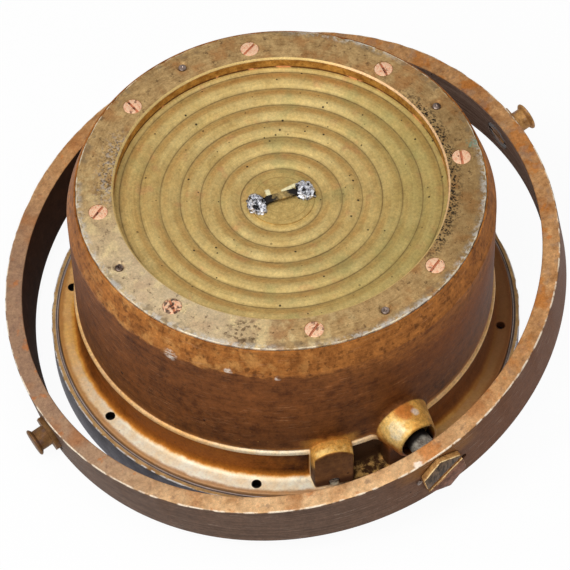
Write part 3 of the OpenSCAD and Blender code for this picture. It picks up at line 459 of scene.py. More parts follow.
def ring_brass():
    """The clamp ring: tan brass, pitted along its inner margin, with pale and green crusts outside."""
    f = Finish("ring_brass")
    fine = f.cloud(1.1, 21, 7, 0.8)
    mottle = f.cloud(5, 22, 6, 0.74)
    brushed = f.turned(f.r, 23, 0.8, 16)
    left = f.sector(140, 13, 7) * f.r.rise(91, 84)
    where = f.sector(-28, 36, 10) * (f.r + f.cloud(4, 36) * 5 - 2.5).rise(88.5, 81.5) + left * 0.5
    where = (where + 0.1 * f.cloud(9, 26).rise(0.5, 0.6)).clipped()
    pits = f.specks(1.1, 0.5, 27, 0.7).most(f.cloud(1.5, 33, 3).rise(0.54, 0.59)) * where
    edge = f.r.rise(93.5, 97.0)
    crust = f.cloud(3.0, 28, 6, 0.75).rise(0.46, 0.56) * edge
    pale = f.sector(-150, 24, 12) + f.sector(-76, 30, 16) + f.sector(-28, 10, 8) + f.sector(38, 14, 8)
    pale = (pale + f.sector(168, 18, 10)).clipped()
    # Painted highlight along the inner top edge, peach and brightest on the right.
    lip = f.r.rise(80.6, 80.2) * f.z.rise(111.2, 111.6)
    inside = f.r.rise(79.9, 79.6) * f.z.rise(111.2, 110.8)
    # A dark line at the foot of the inner wall, broken by painted highlight glints.
    seam = f.mix((92, 54, 30), (255, 184, 134), f.cloud(7, 29, 3).rise(0.54, 0.62))
    colour = f.layers(
        f.mix((126, 90, 48), (224, 188, 130), (mottle * 1.8 + brushed * 0.6 - 0.7).clipped()),
        ((168, 108, 54), f.cloud(12, 31).rise(0.48, 0.64) * 0.55),
        ((232, 214, 180), f.sector(-164, 26, 22) * (0.25 + 0.5 * f.cloud(10, 24))),
        ((118, 90, 50), f.sector(-32, 28, 20) * 0.42),
        ((84, 58, 34), f.cloud(3.2, 25, 6, 0.75).rise(0.55, 0.66) * 0.75),
        ((246, 222, 164), f.cloud(6, 38, 5).rise(0.5, 0.66) * f.sector(-160, 50, 30) * 0.5),
        ((132, 112, 84), f.cloud(5, 39, 5).rise(0.48, 0.6) * f.r.rise(92, 95) * 0.6),
        ((178, 170, 164), left * f.cloud(2, 32, 4).rise(0.5, 0.58) * 0.55),
        ((84, 60, 36), f.spot(-61, -64.5, 112, 8) * f.cloud(1.8, 37, 4).rise(0.48, 0.58) * 0.7),
        ((26, 22, 18), pits * 0.95),
        ((208, 204, 196), crust * pale * 0.75),
        ((118, 150, 128), f.spot(90.6, -29.9, 112, 3.5) * f.cloud(1.2, 34).rise(0.4, 0.62) * 0.8),
        (f.mix((226, 196, 128), (255, 210, 160), f.sector(-6, 42, 12)), lip * 0.85),
        (f.mix((146, 98, 38), (210, 160, 80), mottle.rise(0.35, 0.65)), inside),
        (seam, inside * f.z.rise(107.0, 106.6) * 0.85),
        # Painted highlight, broken, along the outer top edge.
        ((238, 224, 194), f.r.rise(96.7, 97.1) * f.cloud(5, 30).rise(0.46, 0.56) * 0.8),
    )
    colour = f.shade(colour, 0.28 + fine * 1.44)
    relief = f.bump(fine + brushed * 0.3 - pits * 1.5, 0.14)
    return f.done(colour, 0.4 + 0.3 * fine, 0.45, relief, Specular_IOR_Level=0.2)


def sheet_brass():
    """The diaphragm: khaki sheet, darker along its creases, with painted shade and highlight on its ridges,
    faint darker rings in the middle and black specks.
    """
    f = Finish("sheet_brass")
    fine = f.cloud(1.3, 35, 7, 0.76)
    mottle = f.cloud(7, 36, 6, 0.68)
    brushed = f.turned(f.r, 37, 0.9, 45)
    phase = ((f.r - crease_r) / crease_pitch).run("FRACT")
    on_sheet = f.r.rise(17, 18.5) * f.r.rise(79, 77.6)
    # Painted light and shade on the ridges: the slope facing away is painted tan as shade and the slope
    # facing the front pale as a highlight, on both sides of the sheet.
    near_side = (f.across(NEAR_SIDE) / f.r).rise(-0.8, 0.8)
    far_slope = phase.band(0.55, 0.95, 0.15)
    near_slope = phase.band(0.05, 0.45, 0.15)
    warm = far_slope * (1.0 - near_side) + near_slope * near_side
    tan = (f.cloud(9, 38, 5) * 1.9 - 0.45).clipped()
    pale = (f.cloud(11, 39, 5) * 1.8 - 0.5).clipped()
    off_crease = 0.5 - abs(phase - 0.5)
    crease = off_crease.rise(0.05, 0.0) * 0.6 + off_crease.rise(0.16, 0.0) * 0.3
    rings = (f.r.band(13.0, 13.4, 0.3) + f.r.band(8.6, 8.9, 0.3)) * 0.4
    beside_bar = f.across(BAR_AZIMUTH + 90)
    along_bar = f.across(BAR_AZIMUTH) + (mottle - 0.5) * 2
    wedge = along_bar.band(1.5, 9.0, 0.4) * (beside_bar - along_bar * 0.22).band(2.4, 4.6, 0.4)
    glints = (wedge + along_bar.band(-6.0, -3.8, 0.4) * beside_bar.band(3.0, 7.4, 0.6)).clipped()
    dark = (f.specks(4.2, 0.6, 43, 0.8) + f.specks(2.6, 0.42, 44, 0.4)).clipped()
    dark = dark * f.cloud(18, 45).rise(0.4, 0.5)
    colour = f.layers(
        f.mix((162, 128, 68), (224, 194, 122), (mottle * 1.3 + brushed * 0.9 - 0.6).clipped()),
        # Painted shade on the slopes facing away, then painted highlight on the others.
        ((196, 138, 74), warm * on_sheet * tan * 0.65),
        ((230, 216, 160), (1.0 - warm) * on_sheet * pale * 0.35),
        ((200, 138, 92), f.cloud(10, 40, 5).rise(0.57, 0.7) * 0.4),
        ((158, 152, 96), f.cloud(16, 41, 5).rise(0.53, 0.68) * 0.45),
        ((160, 152, 88), f.sector(-40, 50, 40) * f.r.rise(38, 66) * f.cloud(14, 46) * 0.7),
        ((96, 70, 32), crease * on_sheet * (0.3 + 0.9 * f.cloud(13, 42))),
        ((128, 98, 50), rings),
        ((255, 246, 200), glints * 0.85),
        ((34, 26, 16), dark * 0.92),
    )
    colour = f.shade(colour, 0.25 + fine * 1.5)
    relief = f.bump(fine + brushed * 0.5, 0.1)
    return f.done(colour, 0.42 + 0.3 * fine, 0.5, relief, Specular_IOR_Level=0.25)


def copper():
    """Bright copper of the clamp screws, worn and stained, and darker in the slots, partly dirt and partly
    painted shade.
    """
    f = Finish("copper")
    fine = f.cloud(0.9, 45, 6, 0.75)
    stain = f.spot(-80.8, -33.5, 112, 5.5) * f.cloud(2.2, 48, 4).rise(0.44, 0.54)
    colour = f.layers(
        f.mix((240, 140, 96), (255, 214, 176), fine.rise(0.32, 0.56)),
        ((112, 58, 36), f.cloud(2.4, 46).rise(0.59, 0.68) * 0.8),
        # Darker in the slots and under the head's rim: partly dirt and partly painted shade.
        (f.mix((84, 46, 30), (208, 134, 98), f.cloud(2, 47).rise(0.36, 0.5)), f.z.rise(111.7, 111.4)),
        ((66, 48, 42), stain * 0.9),
    )
    return f.done(colour, 0.34 + 0.3 * fine, 0.5, f.bump(fine, 0.14), Specular_IOR_Level=0.3)


def gimbal_bronze():
    """The gimbal ring: peach and orange on its narrow face, grey brown outside, nearly black inside as
    painted shade, with painted highlights on its top, its outer top edge and inside at the back.
    """
    f = Finish("gimbal_bronze", (0, 0, pivot_z), (0, math.radians(-ring_tilt), 0))
    fine = f.cloud(1.2, 51, 7, 0.8)
    mottle = f.cloud(5, 52, 6, 0.72)
    brushed = f.turned(f.z, 53, 0.9, 26)
    right = f.sector(0, 62, 20)
    top = f.layers(
        f.mix((132, 82, 42), (232, 180, 122), (mottle * 1.8 - 0.4).clipped()),
        ((246, 208, 158), f.sector(-128, 34, 30) * (f.cloud(7, 54, 5) * 1.8 - 0.45).clipped()),
        ((144, 120, 106), f.sector(168, 34, 24) * 0.65),
        ((126, 96, 82), f.cloud(5, 55, 6, 0.7).rise(0.54, 0.66) * 0.5),
        ((198, 112, 42), f.cloud(7, 56, 5).rise(0.58, 0.68) * 0.55),
        ((166, 100, 48), f.cloud(18, 60, 5).rise(0.5, 0.66) * 0.55),
        ((206, 122, 46), f.spot(-2, -133, 14.5, 6) * 0.6),
        # Painted highlight on the top by the front pivot.
        ((255, 240, 222), f.spot(-10, -136, 14.5, 2.4) * 0.8),
        ((190, 116, 44), f.cloud(9, 61, 5).rise(0.5, 0.58) * right * 0.6),
        ((152, 130, 112), f.cloud(7, 62, 5).rise(0.53, 0.62) * right * 0.35),
    )
    # The inner face is painted nearly black as shade.
    inside = f.mix((36, 21, 13), (86, 58, 40), mottle)
    outside = f.layers(
        f.mix((56, 38, 28), (128, 100, 82), (mottle * 0.9 + brushed * 1.1 - 0.5).clipped()),
        ((120, 70, 38), f.sector(-40, 42, 36) * 0.55),
        ((142, 96, 48), f.sector(-90, 7, 4) * f.z.rise(3, 8) * 0.7),
        ((190, 172, 154), f.scratches(f.z, 57) * 0.4),
    )
    # Painted highlight streak inside at the back right.
    inside = f.mix(inside, (196, 172, 156), f.sector(24, 44, 16) * (0.25 + brushed.rise(0.3, 0.7) * 0.6))
    face = f.z.rise(ring_h / 2 - 0.5, ring_h / 2 - 0.25)
    # Painted highlight, broken, along the outer top edge.
    rim = f.r.rise(136.8, 137.2) * f.z.rise(13.6, 14.0) * f.cloud(5, 58).rise(0.42, 0.54)
    dark = f.specks(6, 0.5, 59, 0.35)
    colour = f.layers(
        f.mix(inside, outside, f.r.rise(133, 134)),
        (top, face),
        ((244, 228, 204), rim * 0.9),
        ((34, 22, 16), dark * 0.8),
    )
    colour = f.shade(colour, 0.1 + fine * 1.8)
    relief = f.bump(fine + brushed * 0.3 - dark, 0.15)
    metal = f.r.rise(132, 134).most(face) * 0.4
    rough = 0.45 + 0.3 * fine + metal.rise(0.2, 0.0) * 0.25
    return f.done(colour, rough, metal, relief, Specular_IOR_Level=0.1)


def pivot_bronze():
    """The hexagon heads and trunnions: handled bronze with painted highlights on the heads' edges and painted
    shade underneath, and a light steel-grey nose painted dark as shade inside the bore.
    """
    f = Finish("pivot_bronze")
    fine = f.cloud(0.9, 61, 7, 0.78)
    mottle = f.cloud(3.5, 62, 5, 0.68)
    # Painted shade: darker below the pivots' height.
    underneath = (f.z + (mottle - 0.5) * 6).rise(pivot_z - 3, pivot_z - 10)
    up = f.z - pivot_z
    slot_x, slot_up = 0.819, 0.574
    beyond_slot = f.x * slot_up - up * slot_x
    along_slot = f.x * slot_x + up * slot_up
    grey = f.mix((56, 44, 34), (118, 96, 76), f.cloud(1.2, 64, 4, at=f.stretched(1, 0, 0.3)).rise(0.35, 0.65))
    brown = f.mix((88, 56, 42), (146, 100, 78), mottle.rise(0.35, 0.65))
    colour = f.layers(
        f.mix((108, 66, 32), (226, 172, 104), (mottle * 2 - 0.5).clipped()),
        ((166, 140, 134), f.cloud(5, 63).rise(0.54, 0.64) * 0.6 * abs(f.x).rise(30, 60)),
        ((72, 44, 26), underneath * 0.7),
    )
    slot = beyond_slot.band(-1.1, 1.1, 0.25) * (along_slot + (mottle - 0.5) * 5).rise(6, 4)
    head = f.layers(
        f.mix(grey, brown, beyond_slot.rise(1.1, 1.7)),
        ((190, 140, 92), beyond_slot.band(1.2, 1.9, 0.3) * along_slot.band(-7, -1, 1) * 0.8),
        ((26, 20, 16), slot * (0.55 + 0.45 * along_slot.band(-1, 3.5, 0.6))),
    )
    nose = abs(f.y).rise(127.5, 126.5) * abs(f.x).rise(30, 20)
    shade = f.mix((104, 94, 84), (176, 168, 154), mottle.rise(0.35, 0.6))
    # The nose is painted dark as shade where it lies inside the bore.
    shade = f.mix((26, 20, 18), shade, (abs(f.y) + mottle * 2).rise(119.5, 122.5))
    colour = f.layers(
        colour,
        # Painted highlight on the edge of the hexagon heads.
        ((246, 214, 158), abs(f.y).rise(139.7, 140.0) * mottle.rise(0.4, 0.55)),
        (head, abs(f.y).rise(140.25, 140.45)),
        (shade, nose),
    )
    colour = f.shade(colour, 0.2 + fine * 1.6)
    return f.done(colour, 0.4 + 0.3 * fine, 0.4, f.bump(fine, 0.14), Specular_IOR_Level=0.2)


def bezel_zinc():
    """The bezel: blue grey skirt under a rim of fine turned lines, tan and chipped at its edge."""
    f = Finish("bezel_zinc")
    fine = f.cloud(1.1, 71, 7, 0.78)
    mottle = f.cloud(7, 72, 5)
    skirt = f.mix((84, 80, 88), (146, 142, 150), (mottle * 1.6 - 0.3).clipped())
    lines = f.mix((96, 78, 66), (200, 184, 176), f.turned(f.r, 73, 0.45, 50).rise(0.35, 0.65))
    tan = f.mix((150, 104, 54), (224, 186, 128), (mottle * 1.6 - 0.3).clipped())
    rim = f.layers(
        f.mix(lines, tan, f.r.rise(114.3, 114.7)),
        ((44, 32, 26), f.r.band(113.9, 114.2, 0.15)),
        ((228, 222, 216), f.r.rise(115.7, 116.1) * f.cloud(3, 74, 5).rise(0.42, 0.52)),
    )
    colour = f.mix(skirt, rim, (f.z + f.cloud(5, 75)).rise(14.6, 15.1))
    colour = f.shade(colour, 0.2 + fine * 1.6)
    relief = f.bump(fine + f.turned(f.z, 76, 0.8), 0.1)
    return f.done(colour, 0.45 + 0.25 * fine, 0.4, relief, Specular_IOR_Level=0.25)


def plain_brass(name="plain_brass", dark=(150, 112, 58), light=(206, 168, 100), seed=81):
    """Machined brass of the fittings, toned brown in places."""
    f = Finish(name)
    fine = f.cloud(0.9, seed, 7, 0.75)
    colour = f.mix(dark, light, (f.cloud(5, seed + 1, 5) * 1.7 - 0.35).clipped())
    colour = f.shade(colour, 0.6 + fine * 0.8)
    relief = f.bump(fine, 0.08)
    return f.done(colour, 0.32 + 0.25 * fine, 0.6, relief)


def hidden_tips():
    """Brass of the bezel screws, painted black at the tips that the flange holes show, as shade inside the
    holes.
    """
    f = Finish("hidden_tips")
    fine = f.cloud(0.9, 86, 6, 0.75)
    head = f.mix((150, 112, 58), (206, 168, 100), f.cloud(3, 87))
    colour = f.mix(head, (9, 7, 6), f.z.rise(5, 7))
    return f.done(f.shade(colour, 0.6 + fine * 0.8), 0.4 + 0.3 * fine, 0.4, f.bump(fine, 0.05))


def bar_brass():
    """The bar between the solder heaps: black with soot, with a painted glint in its middle."""
    f = Finish("bar_brass")
    # Where the soot is thin, in the middle, the bar is painted bright as a glint.
    soot = (f.cloud(2.2, 121, 5, 0.7) * 1.8 + abs(f.x) * 0.14 - 0.5).clipped()
    colour = f.mix((236, 200, 124), (24, 18, 14), soot)
    return f.done(colour, 0.4 + 0.3 * soot, 0.4, f.bump(soot, 0.2))


def solder():
    """Lumpy silver solder with black flux in its hollows."""
    f = Finish("solder")
    lumps = f.cloud(1.3, 91, 5, 0.65)
    colour = f.mix((242, 242, 246), (118, 120, 132), lumps.rise(0.45, 0.6))
    soot = f.cloud(3.4, 92, 5, 0.65).rise(0.5, 0.56)
    relief = f.bump(lumps, 0.6)
    colour = f.mix(colour, (18, 16, 16), soot)
    return f.done(colour, 0.28 + 0.3 * lumps, 0.6, relief)


def steel(name="steel", light=(196, 192, 188), dark=(112, 100, 92), seed=95):
    """Plain steel of pins, plug and magnets, a little rusty."""
    f = Finish(name)
    fine = f.cloud(0.9, seed, 6, 0.7)
    colour = f.mix(light, dark, f.cloud(3.5, seed + 1).rise(0.42, 0.62))
    colour = f.mix(colour, (106, 66, 40), f.cloud(5, seed + 2).rise(0.58, 0.7) * 0.5)
    return f.done(colour, 0.28 + 0.25 * fine, 0.8, f.bump(fine, 0.05))


def rubber():
    """Dull black packing with a dusty bloom."""
    f = Finish("rubber")
    dust = f.cloud(3, 101, 5, 0.7)
    colour = f.mix((26, 24, 24), (64, 60, 56), dust.rise(0.45, 0.75))
    return f.done(colour, 0.7 + 0.2 * dust, 0.0, f.bump(dust, 0.1))


def clear_glass():
    f = Finish("clear_glass")
    haze = f.cloud(22, 95, 4)
    colour = f.mix((253, 254, 252), (246, 249, 245), haze)
    return f.done(colour, 0.02 + 0.05 * haze, 0.0, f.bump(haze, 0.02), Transmission_Weight=1.0, IOR=1.5)


def card_enamel():
    """Cream enamel of the card's face, yellowed in places."""
    f = Finish("card_enamel")
    stain = f.cloud(24, 97, 4)
    colour = f.mix((236, 230, 212), (216, 202, 168), stain.rise(0.4, 0.75))
    return f.done(colour, 0.4 + 0.2 * stain, 0.0, f.bump(f.cloud(0.8, 98), 0.02))


def sapphire():
    f = Finish("sapphire")
    colour = f.mix((176, 30, 62), (214, 62, 96), f.cloud(1.5, 99))
    return f.done(colour, 0.05, 0.0, f.bump(f.cloud(0.5, 100), 0.01), Transmission_Weight=0.6, IOR=1.76)


def pale_floor():
    """White paper that keeps the object's shadow, and that the camera sees almost as bright as the sky."""
    material = bpy.data.materials.new("pale_floor")
    material.use_nodes = True
    paint = Tree(material.node_tree)
    paint.tree.nodes.remove(paint.tree.nodes["Principled BSDF"])
    rays = paint.node("ShaderNodeLightPath").outputs
    seen = Value(paint, rays["Is Camera Ray"]).most(Value(paint, rays["Is Glossy Ray"]))
    paper = paint.node("ShaderNodeBsdfDiffuse", Color=(0.86, 0.86, 0.86, 1))
    glow = paint.node("ShaderNodeEmission", Color=(1, 1, 1, 1))
    both = paint.node("ShaderNodeMixShader", _0=seen * FLOOR_GLOW, _1=paper.outputs[0], _2=glow.outputs[0])
    paint.feed(paint.tree.nodes["Material Output"].inputs["Surface"], both.outputs[0])
    return material


# Camera, lamps and floor


def make_camera():
    back = Vector((
        math.sin(CAMERA_TURN) * math.cos(CAMERA_RISE),
        -math.cos(CAMERA_TURN) * math.cos(CAMERA_RISE),
        math.sin(CAMERA_RISE),
    ))
    level = Vector((math.cos(CAMERA_TURN), math.sin(CAMERA_TURN), 0))
    upward = back.cross(level)
    across = level * math.cos(CAMERA_ROLL) + upward * math.sin(CAMERA_ROLL)
    up = upward * math.cos(CAMERA_ROLL) - level * math.sin(CAMERA_ROLL)
    data = bpy.data.cameras.new("camera")
    data.sensor_width = SENSOR_MM
    data.lens = FOCAL_PX * SENSOR_MM / PICTURE_PX
    data.clip_start = 0.1
    data.clip_end = 20
    camera = linked("camera", data)
    place = Matrix((across, up, back)).transposed().to_4x4()
    place.translation = CAMERA_TARGET + back * CAMERA_AWAY
    camera.matrix_world = place
    bpy.context.scene.camera = camera


def linked(name, data):
    """A new object in the scene."""
    made = bpy.data.objects.new(name, data)
    bpy.context.scene.collection.objects.link(made)
    return made


def softbox(name, place, size, watts):
    """A square lamp that looks at the middle of the object."""
    data = bpy.data.lights.new(name, "AREA")
    data.shape = "SQUARE"
    data.size = size
    data.energy = watts
    lamp = linked(name, data)
    lamp.location = place
    lamp.rotation_mode = "QUATERNION"
    lamp.rotation_quaternion = (Vector(place) - LAMPS_AIM).to_track_quat("Z", "Y")


def make_studio():
    bpy.context.scene.view_settings.view_transform = "Standard"
    softbox("key_softbox", (-0.95, -0.35, 1.35), 0.9, 15)
    softbox("top_softbox", (-0.1, -0.3, 1.6), 1.2, 7)
    world = bpy.data.worlds.new("studio")
    bpy.context.scene.world = world
    world.use_nodes = True
    sky = Tree(world.node_tree)
    seen = sky.node("ShaderNodeLightPath").outputs["Is Camera Ray"]
    strength = sky.node("ShaderNodeMapRange", Value=seen, To_Min=SKY_LIGHT, To_Max=1.0)
    background = sky.tree.nodes["Background"]
    background.inputs["Color"].default_value = (1, 1, 1, 1)
    sky.feed(background.inputs["Strength"], strength.outputs["Result"])
    data = bpy.data.meshes.new("floor")
    reach = 6.0
    corners = [(-reach, -reach, 0), (reach, -reach, 0), (reach, reach, 0), (-reach, reach, 0)]
    data.from_pydata(corners, [], [(0, 1, 2, 3)])
    data.materials.append(pale_floor())
    linked("floor", data)


# Mesh tools


def piece(name, mesh, body, material, *nodes):
    """A finished piece that rides on a body and stands for CAD nodes."""
    made = linked(name, mesh)
    mesh.materials.clear()
    mesh.materials.append(material)
    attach(made, body)
    if nodes:
        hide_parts(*nodes)
    return made


def smooth(mesh, degrees=35):
    """Smooth faces with hard edges where two faces meet at more than that angle."""
    made = bmesh.new()
    made.from_mesh(mesh)
    limit = math.radians(degrees)
    for face in made.faces:
        face.smooth = True
    for edge in made.edges:
        edge.smooth = edge.calc_face_angle(math.pi) < limit
    made.to_mesh(mesh)
    made.free()
    return mesh


def rounded(corners, arc_steps=4):
    """A closed outline with its corners rounded. A corner is (r, z) or (r, z, radius)."""
    outline = []
    count = len(corners)
    for index, corner in enumerate(corners):
        here = Vector(corner[:2])
        radius = corner[2] if len(corner) > 2 else 0
        if not radius:
            outline.append(here)
            continue
        before = (Vector(corners[index - 1][:2]) - here).normalized()
        after = (Vector(corners[(index + 1) % count][:2]) - here).normalized()
        half = before.angle(after) / 2
        reach = radius / math.tan(half)
        start, end = here + before * reach, here + after * reach
        centre = here + (before + after).normalized() * (radius / math.sin(half))
        for step in range(arc_steps + 1):
            share = step / arc_steps
            spoke = start.lerp(end, share) - centre
            outline.append(centre + spoke.normalized() * radius)
    return outline


def arc(centre, radius, start, end, steps):
    """Points on an arc, angles in degrees."""
    points = []
    for step in range(steps + 1):
        angle = math.radians(start + (end - start) * step / steps)
        points.append((centre[0] + radius * math.cos(angle), centre[1] + radius * math.sin(angle)))
    return points


def skin(made, first, second):
    """Faces between two closed rows of points."""
    for index in range(len(first)):
        following = (index + 1) % len(first)
        made.faces.new((first[index], second[index], second[following], first[following]))


def finished_mesh(made, name):
    """The plain mesh, with its faces turned outwards."""
    bmesh.ops.recalc_face_normals(made, faces=made.faces)
    mesh = bpy.data.meshes.new(name)
    made.to_mesh(mesh)
    made.free()
    return mesh


def lathe(name, outline, steps=256):
    """The outline of (r, z) points in millimetres, turned round the Z axis and closed."""
    made = bmesh.new()
    rows = []
    for step in range(steps):
        angle = 2 * math.pi * step / steps
        x, y = MM * math.cos(angle), MM * math.sin(angle)
        rows.append([made.verts.new((r * x, r * y, z * MM)) for r, z in outline])
    for first, second in zip(rows, rows[1:] + rows[:1]):
        skin(made, first, second)
    bmesh.ops.remove_doubles(made, verts=made.verts, dist=1e-7)
    return finished_mesh(made, name)


def moved(mesh, place):
    mesh.transform(place)
    return mesh


def joined(meshes):
    """One mesh of several."""
    made = bmesh.new()
    for mesh in meshes:
        made.from_mesh(mesh)
        bpy.data.meshes.remove(mesh)
    mesh = bpy.data.meshes.new("joined")
    made.to_mesh(mesh)
    made.free()
    return mesh


def stepped_hole(steps, sides=48):
    """A cutter along Z from (radius, height) points in order."""
    return lathe("stepped_hole", [(0, steps[0][1]), *steps, (0, steps[-1][1])], sides)


def evaluated(thing):
    """The plain mesh of an object after its modifiers."""
    bpy.context.view_layer.update()
    return bpy.data.meshes.new_from_object(thing.evaluated_get(bpy.context.evaluated_depsgraph_get()))


def cut(mesh, tools):
    """The mesh less the tools."""
    body = linked("body", mesh)
    tool = linked("tool", joined(tools))
    modifier = body.modifiers.new("cut", "BOOLEAN")
    modifier.operation = "DIFFERENCE"
    modifier.solver = "EXACT"
    modifier.use_self = True
    modifier.object = tool
    result = evaluated(body)
    for thing in (body, tool):
        data = thing.data
        bpy.data.objects.remove(thing)
        bpy.data.meshes.remove(data)
    return result


def at(x, y, z):
    return Matrix.Translation((x * MM, y * MM, z * MM))


def round_x(degrees):
    return Matrix.Rotation(math.radians(degrees), 4, "X")


def round_y(degrees):
    return Matrix.Rotation(math.radians(degrees), 4, "Y")


def round_z(degrees):
    return Matrix.Rotation(math.radians(degrees), 4, "Z")


# What lies along +Z is turned to the front at the pivots' height, and into the leaning ring's own frame
FORWARD = at(0, 0, pivot_z) @ round_x(90)
LEANING = at(0, 0, pivot_z) @ round_y(-ring_tilt)


def circle_of(count, radius, first=0):
    """Places on a circle round the Z axis."""
    return [round_z(first + 360 * index / count) @ at(radius, 0, 0) for index in range(count)]


def block(low, high):
    """A plain box between two corners, for cutting or as the core of a casting."""
    made = bmesh.new()
    bmesh.ops.create_cube(made, size=MM)
    size = Vector(high) - Vector(low)
    bmesh.ops.scale(made, verts=made.verts, vec=size)
    bmesh.ops.translate(made, verts=made.verts, vec=(Vector(low) + size / 2) * MM)
    return finished_mesh(made, "block")


def edged(mesh, width, degrees=30, steps=2):
    """The mesh with its sharp edges rounded off."""
    made = bmesh.new()
    made.from_mesh(mesh)
    bmesh.ops.remove_doubles(made, verts=made.verts, dist=2e-6)
    bmesh.ops.dissolve_limit(made, angle_limit=math.radians(0.4), verts=made.verts, edges=made.edges)
    limit = math.radians(degrees)
    sharp = [edge for edge in made.edges if edge.is_manifold and edge.calc_face_angle(0) > limit]
    bmesh.ops.bevel(
        made, geom=sharp, offset=width * MM, offset_type="OFFSET", segments=steps, profile=0.5,
        affect="EDGES", clamp_overlap=True,
    )
    return finished_mesh(made, "edged")


def worn_copy(name, node, width, body, material):
    """A CAD node with its edges rounded by handling, in place of the sharp one."""
    mesh = edged(NODES[node].data.copy(), width)
    return piece(name, smooth(mesh), body, material, node)


def dented(mesh, depth, size, seed, near=lambda place: 1.0):
    """Dents and rubbed places up to that depth, where near(place) is above 0."""
    shift = Vector((seed * 13.1, seed * 7.7, seed * 3.3))
    normals = [vertex.normal.copy() for vertex in mesh.vertices]
    for vertex, normal in zip(mesh.vertices, normals):
        share = near(vertex.co / MM)
        if share > 0:
            dent = max(0.0, noise.noise(vertex.co / (size * MM) + shift))
            vertex.co -= normal * (depth * MM * share * dent * 1.6)
    return mesh


def beyond(radius, height):
    """For dents on an outer edge: 1 outside that radius and above that height, otherwise 0."""
    return lambda place: float(math.hypot(place.x, place.y) > radius and place.z > height)


# Geometry Nodes


class Recipe(Tree):
    """A geometry node tree in the making, with named inputs for its sizes."""

    def __init__(self, name):
        super().__init__(bpy.data.node_groups.new(name, "GeometryNodeTree"))
        for way in ("INPUT", "OUTPUT"):
            self.tree.interface.new_socket("Geometry", in_out=way, socket_type="NodeSocketGeometry")
        self.start = self.node("NodeGroupInput")
        self.end = self.node("NodeGroupOutput")

    def sizes(self, *names, kind="Float"):
        for name in names:
            self.tree.interface.new_socket(name, in_out="INPUT", socket_type=f"NodeSocket{kind}")
        return [Value(self, self.start.outputs[name]) for name in names]

    def between(self, start, end, share):
        made = self.node("ShaderNodeMix", {"data_type": "FLOAT"}, _0=share, _2=start, _3=end)
        return Value(self, made.outputs[0])

    def share_of_way(self, value, start, end):
        made = self.node("ShaderNodeMapRange", Value=value, From_Min=start, From_Max=end)
        return Value(self, made.outputs[0])

    def circle(self, count, radius, height, first=0.0):
        """Points on a level circle."""
        flat = self.node("GeometryNodeMeshCircle", {"fill_type": "NONE"}, Vertices=count, Radius=radius)
        placed = self.node(
            "GeometryNodeTransform", Geometry=flat.outputs[0], Translation=self.vector(z=height),
            Rotation=self.vector(z=first),
        )
        return placed.outputs[0]

    def close(self, geometry):
        """Ends the tree in plain geometry with its material."""
        real = self.node("GeometryNodeRealizeInstances", Geometry=geometry)
        [material] = self.sizes("Material", kind="Material")
        paint = self.node("GeometryNodeSetMaterial", Geometry=real.outputs[0], Material=material)
        self.feed(self.end.inputs[0], paint.outputs[0])
        return self.tree


def grown(tree, mesh, **sizes):
    """The plain mesh that a tree makes of a start mesh with these sizes."""
    start = linked("start", mesh)
    modifier = start.modifiers.new("recipe", "NODES")
    modifier.node_group = tree
    for item in tree.interface.items_tree:
        key = item.name.replace(" ", "_").lower()
        if item.item_type == "SOCKET" and item.in_out == "INPUT" and key in sizes:
            modifier[item.identifier] = sizes[key]
    result = evaluated(start)
    start.modifiers.clear()
    bpy.data.objects.remove(start)
    return result


def fastener_circle():
    """Copies of the start mesh on a circle, each turned a little from one common direction."""
    recipe = Recipe("fastener_circle")
    count, seed = recipe.sizes("Count", "Seed", kind="Int")
    radius, first, height, facing, spread = recipe.sizes(
        "Radius", "First Angle", "Height", "Slot Direction", "Slot Spread"
    )
    sway = recipe.node("FunctionNodeRandomValue", {"data_type": "FLOAT"}, _2=-spread, _3=spread, Seed=seed)
    copies = recipe.node(
        "GeometryNodeInstanceOnPoints", Points=recipe.circle(count, radius, height, first),
        Instance=recipe.start.outputs[0], Rotation=recipe.vector(z=Value(recipe, sway.outputs[1]) + facing),
    )
    return recipe.close(copies.outputs[0])


def tick_circle():
    """Flat strokes on a circle that point at its middle, as on a dial."""
    recipe = Recipe("tick_circle")
    [count] = recipe.sizes("Count", kind="Int")
    radius, height, length, width, relief = recipe.sizes(
        "Radius", "Height", "Tick Length", "Tick Width", "Tick Relief"
    )
    bar = recipe.node("GeometryNodeMeshCube", Size=recipe.vector(length, width, relief))
    x, y, _ = recipe.apart(recipe.node("GeometryNodeInputPosition").outputs[0])
    copies = recipe.node(
        "GeometryNodeInstanceOnPoints", Points=recipe.circle(count, radius, height),
        Instance=bar.outputs[0], Rotation=recipe.vector(z=y.run("ARCTAN2", x)),
    )
    return recipe.close(copies.outputs[0])


